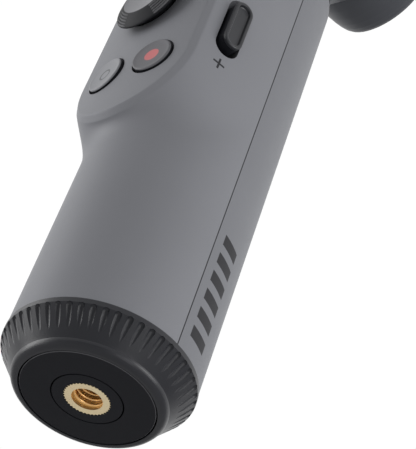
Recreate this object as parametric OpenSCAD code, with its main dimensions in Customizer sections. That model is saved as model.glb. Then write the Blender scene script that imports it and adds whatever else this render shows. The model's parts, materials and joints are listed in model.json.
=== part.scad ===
// Three-axis smartphone gimbal with a round handle.
// +Z runs up the handle, the control panel faces -Y and the zoom slider is on the +X side.
// The origin is the mouth of the tripod thread, in the centre of the bottom face.

/* [Handle] */
// Diameter of the round handle
handle_d = 40; // [38:0.5:44]
// Height of the shells' top rim above the bottom face
handle_h = 128; // [126:1:150]
// Wall of the two handle shells
shell_wall = 2; // [1.6:0.1:2.4]
// Hairline between the front and the rear shell
seam_gap = 0.1; // [0.06:0.02:0.3]

/* [Base] */
// Height of the base ring's top edge
ring_h = 8.1; // [7.6:0.1:10]
// How far the base ring stands proud of the handle
ring_proud = 0.15; // [0:0.05:0.5]
// Height of the plain band at the ring's top edge
band_h = 1.1; // [0.9:0.1:1.6]
// How far the ring's foot stays inside its outer radius
foot_in = 4.05; // [3.6:0.05:4.5]
// Radius of the foot's rounded edge
foot_edge = 1.6; // [1:0.1:1.8]
// Number of grip flutes round the base ring
flute_count = 52; // [30:1:60]
// Radius of one grip flute
flute_r = 0.75; // [0.5:0.05:0.9]
// Width of the groove round the flat bottom disc
groove_w = 0.3; // [0.2:0.05:0.5]
// Diameter of the round boss in the bottom disc
boss_d = 14.4; // [13:0.2:18]
// Diameter of the brass insert's flange
flange_d = 9.6; // [9:0.1:12]
// Thickness of the brass insert's flange
flange_h = 1.2; // [0.8:0.1:2]
// Number of teeth round the insert's flange
flange_teeth = 40; // [24:1:48]
// Diameter of the tripod thread's bore
thread_d = 6.4; // [6.35:0.05:6.6]
// Depth of the tripod thread
thread_depth = 9.5; // [8:0.5:10]

/* [Control panel] */
// How far each long side of the panel's face stays inside the handle's radius
panel_side = 4.7; // [4.2:0.1:5.2]
// Distance of the panel's face below the shells' top rim
panel_drop = 12; // [11:0.5:13]
// Length of the panel's face
panel_l = 55.8; // [54:0.2:58]
// Height over which each end of the panel's face rounds off
panel_round = 14; // [10:0.5:16]
// Radius of the face's crown
crown_r = 58; // [50:1:80]
// How far the middle of the face stands in front of the handle
panel_proud = 3.35; // [3:0.05:4]
// Width of the bevel round the face
bevel_w = 1.5; // [1:0.1:2]
// Depth of the bevel round the face
bevel_h = 1.4; // [1:0.1:1.8]
// Height of the hollow flare below and above the panel
flare_h = 8.6; // [6:0.2:8.8]

/* [Buttons] */
// Distance of the two round buttons from the middle
button_x = 6.8; // [6.4:0.1:8]
// Height of the two round buttons above the panel's lowest point
button_rise = 15; // [13:0.2:17]
// Diameter of the round button caps
button_d = 9.6; // [8:0.1:10.2]
// Width of the slot round each button
button_slot = 0.5; // [0.2:0.05:0.6]
// How far each button stands out of the face
button_stand = 0.7; // [0.4:0.1:1.2]
// Lean of each button out of the middle, in degrees
button_lean = 6.7; // [5:0.1:8]
// Travel of the buttons
button_travel = 0.6; // [0.3:0.05:0.8]

/* [Joystick] */
// Height of the joystick above the panel's lowest point
stick_rise = 35.9; // [35:0.1:38]
// Radius of the joystick cap
stick_r = 9.2; // [8.4:0.1:9.4]
// Radius of the hollow dish in the cap
dish_r = 6; // [5:0.1:6.6]
// Radius of the hole that the joystick comes out of
stick_hole_r = 6.4; // [6.2:0.1:7]
// Height of the cap's top above the face
stick_stand = 3.75; // [3.7:0.05:4.6]

/* [Zoom slider] */
// Height of the slider's middle above the panel's lowest point
zoom_rise = 28.1; // [26:0.2:31]
// Length of the slider cap
zoom_l = 14.4; // [12:0.2:15]
// Width of the slider cap
zoom_w = 5; // [4:0.1:5.2]
// How far the slider stands out of the handle's side
zoom_stand = 2.2; // [1.5:0.1:3]
// Travel of the slider each way
zoom_travel = 1.4; // [1:0.1:1.6]
// Width of the gap round the slider cap
zoom_gap = 0.6; // [0.4:0.05:0.8]

/* [Power button] */
// Height of the power button above the panel's lowest point
power_rise = 31.8; // [24:0.2:38]
// Diameter of the power button
power_d = 7; // [6:0.1:8]

/* [Motors] */
// Height of the pan motor's turning cap
pan_cap_h = 9.5; // [9:0.1:11]
// How far the pan motor's turning cap stays inside the handle's radius
pan_cap_in = 0.6; // [0.3:0.1:1.4]
// Height of the roll and tilt axes above the pan motor's cap
roll_rise = 38.5; // [38:0.5:60]
// Diameter of the roll motor's housing
roll_d = 34; // [33:0.5:36]
// Distance from the pan axis to the roll motor's rear end
roll_rear = 44.3; // [42:0.1:50]
// Length of the roll motor's housing
roll_l = 28.8; // [27:0.1:30]
// Diameter of the tilt motor's housing
tilt_d = 30; // [29:0.5:31]
// Length of the tilt motor's housing
tilt_l = 22; // [21:0.5:24]
// Distance from the pan axis forward to the tilt axis
tilt_fwd = 24; // [22:0.5:34]
// Distance from the pan axis sideways to the tilt motor's inner face
tilt_side = 38; // [37:0.5:44]
// Gap between a turning part and its housing
turn_gap = 0.5; // [0.3:0.05:0.8]

/* [Arms] */
// Thickness of the roll arm
arm_t = 8.5; // [7:0.1:9]
// Width of the roll arm
arm_w = 20; // [16:0.5:24]
// Radius of the roll arm's edges
arm_edge = 3.4; // [2:0.1:3.4]
// Radius of the roll arm's bend, at its middle line
arm_bend = 10; // [8:0.5:12]
// Thickness of the clamp bracket
bracket_t = 5; // [4:0.1:6]
// Width of the clamp bracket
bracket_w = 18; // [16:0.5:20]

/* [Phone clamp] */
// Width of the clamp's body
clamp_w = 34; // [30:0.5:38]
// Thickness of the clamp's body
clamp_t = 9.6; // [9:0.1:11]
// Gap between the closed jaws
jaw_gap = 58; // [54:0.5:60]
// Thickness of each jaw
jaw_t = 5; // [4:0.1:6]
// Width of each jaw
jaw_w = 28; // [22:0.5:30]
// Reach of each jaw in front of the body
jaw_reach = 12; // [10:0.5:15]
// Radius of the two guide rods
rod_r = 1.6; // [1.2:0.1:2]
// Distance of each guide rod from the middle
rod_x = 10; // [8:0.2:12]
// Opening travel of the upper jaw
jaw_travel = 30; // [20:1:32]

/* [Hidden] */

// Fits and small common sizes
cut = 1;                    // overrun of a cut past the surface it opens
seat = 0.02;                // radial clearance of a fixed piece in its seat
run_fit = 0.04;             // radial clearance of a running fit
handle_r = handle_d / 2;
inner_r = handle_r - shell_wall;
side_x = handle_r;          // the shells' parting line

// Base
ring_r = handle_r + ring_proud;
band_z = ring_h - band_h;
foot_r = ring_r - foot_in;
foot_w = 1.95;              // width of the foot, its rounded edge included
foot_steps = 9;             // flat steps that make the foot's rounded edge
waist_out = 0.25;           // where the ring's cone meets its foot
waist_up = 0.35;
waist_r = foot_r + waist_out;
waist_z = foot_edge + waist_up;
flute_low = 3;              // height where the flutes fade out
flute_depth = 0.45;         // depth of a flute at its top
disc_r = foot_r - foot_w - groove_w;
disc_t = 5.6;               // thickness of the bottom disc
disc_bevel = 0.15;
flange_seat_in = 0.4;
flange_seat_r = inner_r - flange_seat_in;   // upper part of the base plate, inside the shells
flange_seat_h = 3;          // how far that part reaches up into the shells
boss_r = boss_d / 2;
boss_gap = 0.3;
boss_lip = 2;               // collar that holds the boss, above the disc
insert_r = 4.1;             // insert's barrel
insert_l = 10;

// Panel
panel_front = handle_r + panel_proud;
panel_hw = handle_r - panel_side;
panel_high = handle_h - panel_drop;
panel_low = panel_high - panel_l;
face_mid = (panel_low + panel_high) / 2;
end_low_z = panel_low + panel_round;
end_high_z = panel_high - panel_round;
super_n = 2.2;              // roundness of the panel's ends
loft_pts = 64;              // points round each ring of the panel's surface
loft_front = 3.6;           // the uncut panel stands this far in front of the face
loft_sink = 0.05;           // how deep the flare's end lies under the handle's surface
root_share = 0.8;           // the panel's root inside the handle
hollow_share = 0.86;        // hollow of the flare at the ends
side_hollow_share = 0.4;    // hollow of the flare at the sides
pocket_side = 1.8;          // walls of the pocket behind the panel
panel_wall = 3.75;
pocket_end = 4.2;
pocket_hw = panel_hw - pocket_side;
pocket_front = panel_front - panel_wall;
pocket_low = panel_low + pocket_end;
pocket_high = panel_high - pocket_end;

// Boards
board_t = 1.2;
board_in = 12.35;           // rear face of the key board, behind the panel's face
board_side = 2.3;
board_end = 5.4;
board_y = panel_front - board_in;
board_hw = panel_hw - board_side;
board_low = panel_low + board_end;
board_high = panel_high - board_end;
post_r = 1.6;
post_side = 2;
post_x = board_hw - post_side;
post_in = 2.6;
switch_w = 4;
switch_t = 1.8;
press_gap = 0.3;            // gap between a released button and its switch, past its travel

// Buttons
button_r = button_d / 2;
button_z = panel_low + button_rise;
button_fall = 0.4;          // the face's fall from its middle to a button
button_y = panel_front - button_fall + button_stand;
switch_in = 1.4;            // the switches stand this much closer to the middle than the caps
button_flange = 0.6;        // rim behind the panel that keeps the cap in
button_stem_r = 1.4;
cap_in = 4.7;
cap_t = button_stand + cap_in;
cap_edge = 0.5;
cap_bevel = 0.3;
cap_hollow = 0.25;          // depth of the caps' shallow dish

// Joystick
stick_z = panel_low + stick_rise;
pivot_in = 7.95;
pivot_y = panel_front - pivot_in;
cup_back = 0.6;
pin_end = 0.1;
stick_box = 11;
stick_box_h = 4.8;
cup_r = 4.6;
yoke_r = 3.9;
yoke_bore = 2.7;
yoke_t = 1.8;
trunnion_r = 0.7;
trunnion_in = 0.5;
shank_r = 1.5;
cross_r = 0.6;
dish_d = 1.1;
rim_drop = 1.7;             // fall of the cap's rim, from the dish to its widest point
rim_round = 0.25;
rim_low = 0.5;              // height of the cap's widest point above its underside
rim_in = 0.6;               // the underside's edge, inside the widest point
skirt_r = 4.6;
skirt_h = 3;
skirt_wall = 1.2;

// Zoom slider
zoom_z = panel_low + zoom_rise;
zoom_front = 5.8;
zoom_side = 1.75;
zoom_y = handle_r - zoom_front;
zoom_x = handle_r - zoom_side;
zoom_lean = -10;
zoom_in = 3.4;              // depth of the cap inside the slot
zoom_slot_in = 9;
zoom_rim = 1.2;
zoom_dish = 0.8;
zoom_neck_w = 2;
zoom_neck_l = 5;
zoom_neck_in = 3.1;
zoom_neck_y = 0.7;
zoom_switch_in = 8.45;
zoom_switch_x = zoom_x - zoom_switch_in;
zoom_switch_w = 3;
zoom_switch_t = 1.4;
zoom_switch_l = 8;

// Power button and charging port
power_z = panel_low + power_rise;
power_r = power_d / 2;
power_stand = 0.5;
power_in = 5.4;
power_stem_r = 1;
power_stem_l = 1.4;
power_stem_y = 0.6;         // the stem stands this far in front of the key board's edge
power_slot = 0.3;
power_switch_in = 8.25;
power_switch_x = zoom_x - power_switch_in;
usb_drop = 12;
usb_z = handle_h - usb_drop;
usb_w = 9;
usb_h = 3.2;
usb_l = 7;
usb_wall = 0.4;

// Battery and main board
cell_share = 0.511;         // the cell's radius over the shells' inner radius
cell_r = inner_r * cell_share;
cell_l = 65;
cell_z = 13.5;
cell_back = 3.8;
cell_y = inner_r - cell_r - cell_back;
cell_cap_h = 1.5;
cradle_t = 1.6;
cradle_h = 6;
main_gap = 2.5;
main_drop = 9;
main_side = 6;
main_low = cell_z + cell_l + main_gap;
main_high = handle_h - main_drop;
main_hw = inner_r - main_side;
main_y = 7;
main_post_x = main_hw - post_in;
main_post_sink = 0.1;
main_post_end = sqrt(pow(inner_r, 2) - pow(main_post_x - post_r, 2)) + main_post_sink;

// Motors, all three alike inside
motor_floor_t = 4;
hub_r = 5.2;
hub_h = 10;
bearing_r = 4;
bearing_t = 3;
hub_lip = 1;                // shoulder under the lower bearing
shaft_r = 2;
stator_r = 10.7;
stator_in = 7;
stator_low = 1.8;
stator_h = 6.6;
tooth_n = 9;
tooth_w = 2;
shoe_t = 1.2;
shoe_w = 5.6;
coil_w = 4.4;
coil_in = 7.6;
coil_out = 9.2;
coil_over = 0.9;
bell_r = 13.1;
bell_wall = 0.8;
bell_low = 1;
bell_h = 13;
bell_top = 1;
drive_in = 1;               // the driven part's boss, inside the bell's edge
magnet_t = 1.1;
magnet_n = 14;
magnet_slit = 0.3;
can_clear = 0.5;            // room round the turning bell
bell_room = bell_r + can_clear;
shaft_over = 1.6;           // shaft past the bell, into the part that it drives

// Pan
pan_lip = 3;                // visible collar between the shells and the turning cap
pan_lip_in = 1.2;
pan_lip_r = handle_r - pan_lip_in;
pan_cap_r = handle_r - pan_cap_in;
pan_z0 = handle_h + pan_lip + turn_gap;
pan_top = pan_z0 + pan_cap_h;
pan_roof = 2;
pan_floor = pan_top - pan_roof - bell_h;
pan_skirt = 6;              // how deep the collar sits in the shells

// Roll
axis_z = pan_top + roll_rise;
roll_r = roll_d / 2;
roll_front = roll_rear - roll_l;
roll_taper = 4.43;
roll_taper_l = 32;
taper_steps = 10;
roll_cap_r = 11.2;
roll_cap_t = 1.6;
roll_roof = 3.4;
roll_floor = roll_l - turn_gap - roll_roof - bell_h;
roll_disc_t = 5.5;
disc_in = 0.45;
roll_disc_r = roll_r - disc_in;
disc_edge = 1;

// Tilt
tilt_r = tilt_d / 2;
tilt_out = tilt_side + tilt_l;
tilt_cap_t = 1.6;
tilt_cap_r = 11.2;
tilt_edge = 2.5;
tilt_roof = 3;
tilt_floor = tilt_l - tilt_roof - bell_h;
tilt_disc_t = 4;
tilt_disc_r = tilt_r - disc_in;

// Arms
arm_y = roll_front - turn_gap - roll_disc_t - arm_t / 2;
arm_out_in = 1;
arm_out_x = tilt_out - arm_t / 2 - arm_out_in;
bracket_x = tilt_side - turn_gap - tilt_disc_t;
bracket_clear = 1.1;
bracket_front = tilt_fwd + tilt_r + bracket_clear;
neck_low_r = 9;
neck_low_y = 7;
neck_top_r = 6.5;
neck_top_y = 26;
neck_sink = 3.5;

// Clamp
swivel_gap = 0.3;
clamp_back = bracket_front + swivel_gap;
clamp_face = clamp_back + clamp_t;
pin_r = 5;
washer_r = 7;
washer_t = 1.2;
body_top = 24;
jaw_in = jaw_gap / 2;
jaw_out = jaw_in + jaw_t;
clamp_edge = 3;
jaw_edge = 2;
pad_t = 1.4;
pad_inset = 1.2;
rod_y = clamp_back + clamp_t / 2;
rod_low = 28;
rod_bore_low = 31;
spring_r = 2.6;
spring_wire = 0.8;
spring_room = 3;
spring_low = 27;
head_gap = 0.3;
lip_hook = 1.6;

shell_col = [0.50, 0.50, 0.52];
panel_col = [0.43, 0.43, 0.45];
ring_col = [0.19, 0.19, 0.21];
disc_col = [0.14, 0.15, 0.16];
dark_col = [0.27, 0.27, 0.29];
brass_col = [0.85, 0.65, 0.28];
steel_col = [0.75, 0.75, 0.78];
board_col = [0.10, 0.30, 0.18];
copper_col = [0.72, 0.42, 0.20];

// Places that pieces share

module at_button(side) {
    translate([side * button_x, -button_y, button_z])
        rotate([0, 0, side * button_lean])
            rotate([90, 0, 0])
                children();
}

module at_stick() {
    translate([0, -pivot_y, stick_z])
        rotate([90, 0, 0])
            children();
}

module at_zoom() {
    translate([zoom_x, -zoom_y, zoom_z])
        rotate([0, 0, zoom_lean])
            rotate([0, 90, 0])
                children();
}

module at_power() {
    translate([-zoom_x, -zoom_y, power_z])
        rotate([0, 0, -zoom_lean])
            rotate([0, -90, 0])
                children();
}

module at_roll() {
    translate([0, roll_rear, axis_z])
        rotate([90, 0, 0])
            children();
}

module at_tilt() {
    translate([-tilt_out, -tilt_fwd, axis_z])
        rotate([0, 90, 0])
            children();
}

// A flat shape with straight sides and round ends, along X
module slot_2d(len, wide) {
    square([len - wide, wide], center = true);
    translate([-(len - wide) / 2, 0]) circle(d = wide, $fn = 48);
    translate([(len - wide) / 2, 0]) circle(d = wide, $fn = 48);
}

// A rectangle with round corners
module round_2d(wide, high, edge) {
    square([wide - 2 * edge, high], center = true);
    square([wide, high - 2 * edge], center = true);
    for (sx = [-1, 1], sy = [-1, 1])
        translate([sx * (wide / 2 - edge), sy * (high / 2 - edge)])
            circle(r = edge, $fn = 48);
}

// The panel's surface: rings that run round the face, down its bevel and out along the flare

function sgn_pow(v, p) = v == 0 ? 0 : sign(v) * pow(abs(v), p);
function face_x(a) = panel_hw * sgn_pow(cos(a), 2 / super_n);
function face_z(a) = (sin(a) < 0 ? end_low_z : end_high_z) + panel_round * sgn_pow(sin(a), 2 / super_n);
function norm_raw(a) = [
    sgn_pow(cos(a), 2 - 2 / super_n) / panel_hw,
    sgn_pow(sin(a), 2 - 2 / super_n) / panel_round];
function norm_2d(a) = norm_raw(a) / norm(norm_raw(a));
function crown_y(x) = crown_r - panel_front - sqrt(crown_r * crown_r - x * x);
function front_pt(a) =
    let (x = face_x(a), d = (panel_front + loft_front + crown_y(x)) * bevel_w / bevel_h, n = norm_2d(a))
    [x - n[0] * d, -panel_front - loft_front, face_z(a) - n[1] * d];
function bevel_pt(a) =
    let (x = face_x(a), n = norm_2d(a))
    [x + n[0] * bevel_w, crown_y(x) + bevel_h, face_z(a) + n[1] * bevel_w];
function end_turn(a) =
    let (b = asin(bevel_pt(a)[0] / handle_r), w = pow(abs(norm_2d(a)[0]), 2))
    b + (sign(norm_2d(a)[0]) * 90 - b) * w;
function end_pt(a) = [
    (handle_r - loft_sink) * sin(end_turn(a)),
    -(handle_r - loft_sink) * cos(end_turn(a)),
    bevel_pt(a)[2] + norm_2d(a)[1] * flare_h];
function out_dir(a) = [sin(end_turn(a)), -cos(end_turn(a)), 0];
function mid_pt(a) =
    let (q = end_pt(a), d = bevel_pt(a) - q, w = pow(abs(norm_2d(a)[0]), 2))
    q + (d - (d * out_dir(a)) * out_dir(a)) * (hollow_share + (side_hollow_share - hollow_share) * w);
function flare_pt(a, t) =
    pow(1 - t, 2) * bevel_pt(a) + 2 * t * (1 - t) * mid_pt(a) + t * t * end_pt(a);
function root_pt(a) = [end_pt(a)[0] * root_share, end_pt(a)[1] * root_share, end_pt(a)[2]];

loft_steps = [0.15, 0.3, 0.45, 0.6, 0.75, 0.9];
loft_turn = [for (i = [0 : loft_pts - 1]) 360 * (i + 0.5) / loft_pts];
loft_rings = concat(
    [[for (a = loft_turn) front_pt(a)]],
    [[for (a = loft_turn) bevel_pt(a)]],
    [for (t = loft_steps) [for (a = loft_turn) flare_pt(a, t)]],
    [[for (a = loft_turn) end_pt(a)]],
    [[for (a = loft_turn) root_pt(a)]]);

module panel_solid() {
    rings = len(loft_rings);
    pts = concat(
        [for (ring = loft_rings, p = ring) p],
        [[0, -panel_front - loft_front, face_mid], [0, -handle_r * root_share / 2, face_mid]]);
    first = rings * loft_pts;
    walls = [for (k = [0 : rings - 2], i = [0 : loft_pts - 1])
        let (j = (i + 1) % loft_pts, u = k * loft_pts, v = (k + 1) * loft_pts)
        each [[u + i, v + j, v + i], [u + i, u + j, v + j]]];
    front = [for (i = [0 : loft_pts - 1]) [first, (i + 1) % loft_pts, i]];
    back = [for (i = [0 : loft_pts - 1])
        [first + 1, (rings - 1) * loft_pts + i, (rings - 1) * loft_pts + (i + 1) % loft_pts]];
    polyhedron(points = pts, faces = concat(walls, front, back));
}

module crowned_panel() {
    intersection() {
        panel_solid();
        translate([0, crown_r - panel_front, panel_low - panel_round])
            cylinder(r = crown_r, h = panel_high - panel_low + 2 * panel_round, $fn = 256);
    }
}

module front_half(front) {
    side = front ? -1 : 1;
    wide = 2 * (handle_r + panel_front);
    intersection() {
        children();
        translate([-wide / 2, front ? -wide - seam_gap / 2 : seam_gap / 2, -cut])
            cube([wide, wide, axis_z]);
    }
}

module front_shell() {
    color(shell_col)
    front_half(true)
    difference() {
        union() {
            difference() {
                union() {
                    translate([0, 0, ring_h]) cylinder(r = handle_r, h = handle_h - ring_h, $fn = 128);
                    crowned_panel();
                }
                translate([0, 0, ring_h - cut])
                    cylinder(r = inner_r, h = handle_h - ring_h + 2 * cut, $fn = 128);
                translate([-pocket_hw, -pocket_front, pocket_low])
                    cube([2 * pocket_hw, pocket_front, pocket_high - pocket_low]);
            }
            for (sx = [-1, 1], z = [board_low + post_in, board_high - post_in])
                translate([sx * post_x, -board_y - board_t, z])
                    rotate([90, 0, 0])
                        cylinder(r = post_r, h = pocket_front - board_y - board_t + cut / 2, $fn = 32);
        }
        for (side = [-1, 1])
            at_button(side)
                translate([0, 0, -button_y + pocket_front - 2 * cut])
                    cylinder(r = button_r + button_slot, h = button_y, $fn = 64);
        at_stick() cylinder(r = stick_hole_r, h = panel_front, $fn = 64);
        at_zoom()
            translate([0, 0, -zoom_slot_in])
                linear_extrude(height = zoom_slot_in + zoom_stand)
                    slot_2d(zoom_l + 2 * zoom_travel + zoom_gap, zoom_w + 2 * zoom_gap);
        at_power()
            translate([0, 0, -zoom_slot_in])
                cylinder(r = power_r + power_slot, h = zoom_slot_in + zoom_stand, $fn = 48);
    }
}

module rear_shell() {
    color(shell_col)
    front_half(false)
    difference() {
        union() {
            difference() {
                translate([0, 0, ring_h]) cylinder(r = handle_r, h = handle_h - ring_h, $fn = 128);
                translate([0, 0, ring_h - cut])
                    cylinder(r = inner_r, h = handle_h - ring_h + 2 * cut, $fn = 128);
            }
            for (sx = [-1, 1], z = [main_low + post_in, main_high - 3 * post_in])
                translate([sx * main_post_x, main_post_end, z])
                    rotate([90, 0, 0])
                        cylinder(r = post_r, h = main_post_end - main_y - board_t, $fn = 32);
        }
        translate([0, handle_r, usb_z])
            rotate([90, 0, 0])
                linear_extrude(height = usb_l, center = true)
                    slot_2d(usb_w + 2 * seat, usb_h + 2 * seat);
    }
}

// Outline of the base ring: a plain band, a cone that carries the flutes, and a foot with a round edge
ring_line = concat(
    [[foot_r - foot_w, 0], [foot_r - foot_w, ring_h], [ring_r, ring_h], [ring_r, band_z], [waist_r, waist_z]],
    [for (i = [0 : foot_steps]) let (a = 90 * i / foot_steps)
        [foot_r - foot_edge * (1 - cos(a)), foot_edge * (1 - sin(a))]]);

cone_turn = atan2(band_z - waist_z, ring_r - waist_r);
flute_top = band_z - flute_r * 0.6;
function cone_r(z) = ring_r - (band_z - z) / tan(cone_turn);

module flute_cutter() {
    out_top = flute_r - flute_depth;
    p = [cone_r(flute_top) + out_top * sin(cone_turn), flute_top - out_top * cos(cone_turn)];
    q = [cone_r(flute_low) + flute_r * sin(cone_turn), flute_low - flute_r * cos(cone_turn)];
    translate([p[0], 0, p[1]]) {
        sphere(r = flute_r, $fn = 24);
        rotate([0, atan2(q[0] - p[0], q[1] - p[1]), 0])
            cylinder(r = flute_r, h = norm(q - p), $fn = 24);
    }
}

module base_ring() {
    color(ring_col)
    difference() {
        rotate_extrude($fn = 160) polygon(ring_line);
        translate([0, 0, disc_t]) cylinder(r = flange_seat_r + seat, h = ring_h, $fn = 128);
        for (i = [0 : flute_count - 1])
            rotate([0, 0, 360 * (i + 0.5) / flute_count]) flute_cutter();
    }
}

module base_plate() {
    color(disc_col)
    difference() {
        union() {
            cylinder(r1 = disc_r - disc_bevel, r2 = disc_r, h = disc_bevel, $fn = 96);
            translate([0, 0, disc_bevel]) cylinder(r = disc_r, h = disc_t - disc_bevel, $fn = 96);
            translate([0, 0, disc_t])
                cylinder(r = flange_seat_r, h = ring_h + flange_seat_h - disc_t, $fn = 96);
        }
        translate([0, 0, -cut])
            cylinder(r = boss_r + boss_gap, h = ring_h + flange_seat_h + 2 * cut, $fn = 96);
    }
}

module base_boss() {
    color(disc_col)
    difference() {
        union() {
            cylinder(r = boss_r, h = ring_h + flange_seat_h, $fn = 96);
            translate([0, 0, ring_h + flange_seat_h])
                cylinder(r = boss_r + boss_lip, h = boss_lip / 2, $fn = 96);
        }
        translate([0, 0, -cut]) cylinder(r = flange_d / 2 + seat, h = flange_h + cut, $fn = 96);
        translate([0, 0, -cut]) cylinder(r = insert_r + seat, h = insert_l + cut, $fn = 64);
    }
}

module tripod_insert() {
    tooth = 0.36;
    color(brass_col)
    difference() {
        union() {
            cylinder(r = flange_d / 2, h = flange_h, $fn = 96);
            cylinder(r = insert_r, h = insert_l, $fn = 64);
        }
        translate([0, 0, -cut]) cylinder(r = thread_d / 2, h = thread_depth + cut, $fn = 64);
        for (i = [0 : flange_teeth - 1])
            rotate([0, 0, 360 * i / flange_teeth])
                translate([flange_d / 2 + tooth / 3, 0, -cut])
                    cylinder(r = tooth, h = flange_h + 2 * cut, $fn = 16);
    }
}

module battery() {
    color([0.20, 0.35, 0.55])
    translate([0, cell_y, cell_z]) {
        cylinder(r = cell_r, h = cell_l - cell_cap_h, $fn = 64);
        cylinder(r = cell_r / 3, h = cell_l, $fn = 32);
    }
}

module battery_cradle() {
    low = ring_h + flange_seat_h;
    color(disc_col)
    difference() {
        union() {
            translate([0, 0, low])
                cylinder(r = inner_r - seat, h = cell_z - low + cradle_h, $fn = 96);
        }
        translate([0, 0, low - cut]) cylinder(r = boss_r + boss_lip + cut, h = boss_lip / 2 + cut, $fn = 64);
        translate([0, cell_y, cell_z]) cylinder(r = cell_r + seat, h = cell_l, $fn = 64);
        translate([0, 0, cell_z])
            difference() {
                cylinder(r = inner_r + cut, h = cell_l, $fn = 64);
                translate([0, cell_y, 0]) cylinder(r = cell_r + cradle_t, h = cell_l, $fn = 64);
            }
    }
}

module main_board() {
    color(board_col)
    translate([-main_hw, main_y, main_low])
        cube([2 * main_hw, board_t, main_high - main_low]);
}

module usb_port() {
    color(steel_col)
    translate([0, handle_r - usb_wall / 2, usb_z])
        rotate([90, 0, 0])
            difference() {
                linear_extrude(height = usb_l) slot_2d(usb_w, usb_h);
                translate([0, 0, -cut])
                    linear_extrude(height = usb_l)
                        slot_2d(usb_w - 2 * usb_wall, usb_h - 2 * usb_wall);
            }
}

module key_board() {
    color(board_col)
    translate([-board_hw, -board_y - board_t, board_low])
        cube([2 * board_hw, board_t, board_high - board_low]);
}

module key_switches() {
    color(steel_col)
    for (sx = [-1, 1])
        translate([sx * (button_x - switch_in), -board_y - board_t - switch_t / 2, button_z])
            cube([switch_w, switch_t, switch_w], center = true);
}

module round_button(side) {
    reach = button_y - board_y - board_t - switch_t - button_travel - press_gap;
    at_button(side) {
        difference() {
            union() {
                translate([0, 0, -cap_t]) cylinder(r = button_r, h = cap_t - cap_bevel, $fn = 64);
                translate([0, 0, -cap_bevel])
                    cylinder(r1 = button_r, r2 = button_r - cap_bevel, h = cap_bevel, $fn = 64);
                translate([0, 0, -cap_t])
                    cylinder(r = button_r + button_slot + button_flange, h = cap_edge, $fn = 64);
            }
            translate([0, 0, button_r * 6 - cap_hollow]) sphere(r = button_r * 6, $fn = 128);
        }
        translate([0, 0, -reach]) cylinder(r = button_stem_r, h = reach - cap_t + cap_edge, $fn = 32);
    }
}

module record_button() {
    color(panel_col) round_button(1);
}

module mode_button() {
    color(panel_col) round_button(-1);
}

module joystick_base() {
    color(disc_col)
    translate([0, 0, stick_z])
        difference() {
            translate([-stick_box / 2, -board_y - board_t - stick_box_h, -stick_box / 2])
                cube([stick_box, stick_box_h, stick_box]);
            translate([0, -board_y - board_t - cup_back, 0])
                rotate([90, 0, 0])
                    cylinder(r = cup_r, h = stick_box_h + cut, $fn = 64);
            translate([0, -pivot_y, 0])
                rotate([0, 90, 0])
                    cylinder(r = trunnion_r + run_fit, h = 2 * (cup_r + trunnion_in + pin_end), center = true, $fn = 32);
        }
}

module joystick_yoke() {
    color(steel_col)
    at_stick()
        difference() {
            union() {
                cylinder(r = yoke_r, h = yoke_t, center = true, $fn = 64);
                rotate([0, 90, 0])
                    cylinder(r = trunnion_r, h = 2 * (cup_r + trunnion_in), center = true, $fn = 32);
            }
            cylinder(r = yoke_bore, h = 2 * yoke_t, center = true, $fn = 64);
            rotate([90, 0, 0])
                cylinder(r = cross_r + run_fit, h = 3 * yoke_r, center = true, $fn = 32);
        }
}

stick_top = panel_front + stick_stand - pivot_y;
stick_low = stick_top - rim_drop - rim_low;

module joystick_stem() {
    color(steel_col)
    at_stick() {
        translate([0, 0, -cut]) cylinder(r = shank_r, h = stick_low + cut + rim_low, $fn = 32);
        rotate([90, 0, 0])
            cylinder(r = cross_r, h = 2 * (yoke_r - pin_end), center = true, $fn = 32);
    }
}

module joystick_cap() {
    sphere_r = (dish_r * dish_r + dish_d * dish_d) / (2 * dish_d);
    wide_z = stick_low + rim_low;
    color(ring_col)
    at_stick()
        difference() {
            union() {
                rotate_extrude($fn = 96)
                    polygon([
                        [0, stick_low],
                        [stick_r - rim_in, stick_low],
                        [stick_r - rim_round / 3, wide_z - rim_round / 2],
                        [stick_r, wide_z],
                        [stick_r - rim_round / 2, wide_z + rim_round],
                        [dish_r + rim_round, stick_top - rim_round / 3],
                        [dish_r, stick_top],
                        [0, stick_top]]);
                translate([0, 0, stick_low - skirt_h]) cylinder(r = skirt_r, h = skirt_h + cut / 2, $fn = 64);
            }
            translate([0, 0, stick_top - dish_d + sphere_r]) sphere(r = sphere_r, $fn = 128);
            translate([0, 0, -cut]) cylinder(r = shank_r + seat, h = stick_low + cut + rim_low, $fn = 32);
            translate([0, 0, stick_low - skirt_h - cut])
                cylinder(r = skirt_r - skirt_wall, h = skirt_h + cut, $fn = 64);
        }
}

module zoom_slider() {
    color(ring_col)
    at_zoom() {
        difference() {
            translate([0, 0, -zoom_in])
                linear_extrude(height = zoom_in + zoom_stand) slot_2d(zoom_l, zoom_w);
            translate([0, 0, zoom_stand - zoom_dish])
                linear_extrude(height = zoom_dish + cut)
                    slot_2d(zoom_l - 2 * zoom_rim, zoom_w - 2 * zoom_rim);
        }
        translate([-zoom_neck_l / 2, -zoom_neck_y - zoom_neck_w / 2, -zoom_in - zoom_neck_in])
            cube([zoom_neck_l, zoom_neck_w, zoom_neck_in]);
    }
}

module zoom_switch() {
    color(steel_col)
    translate([zoom_switch_x, -board_y - board_t - zoom_switch_w, zoom_z - zoom_switch_l / 2])
        cube([zoom_switch_t, zoom_switch_w, zoom_switch_l]);
}

module power_button() {
    color(ring_col)
    at_power() {
        translate([0, 0, -power_in + power_stem_l])
            cylinder(r = power_r, h = power_in - power_stem_l + power_stand - cap_edge, $fn = 48);
        translate([0, 0, power_stand - cap_edge])
            cylinder(r1 = power_r, r2 = power_r - cap_edge, h = cap_edge, $fn = 48);
        translate([0, -power_stem_y, -power_in])
            cylinder(r = power_stem_r, h = power_stem_l + cut / 2, $fn = 32);
    }
}

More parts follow.
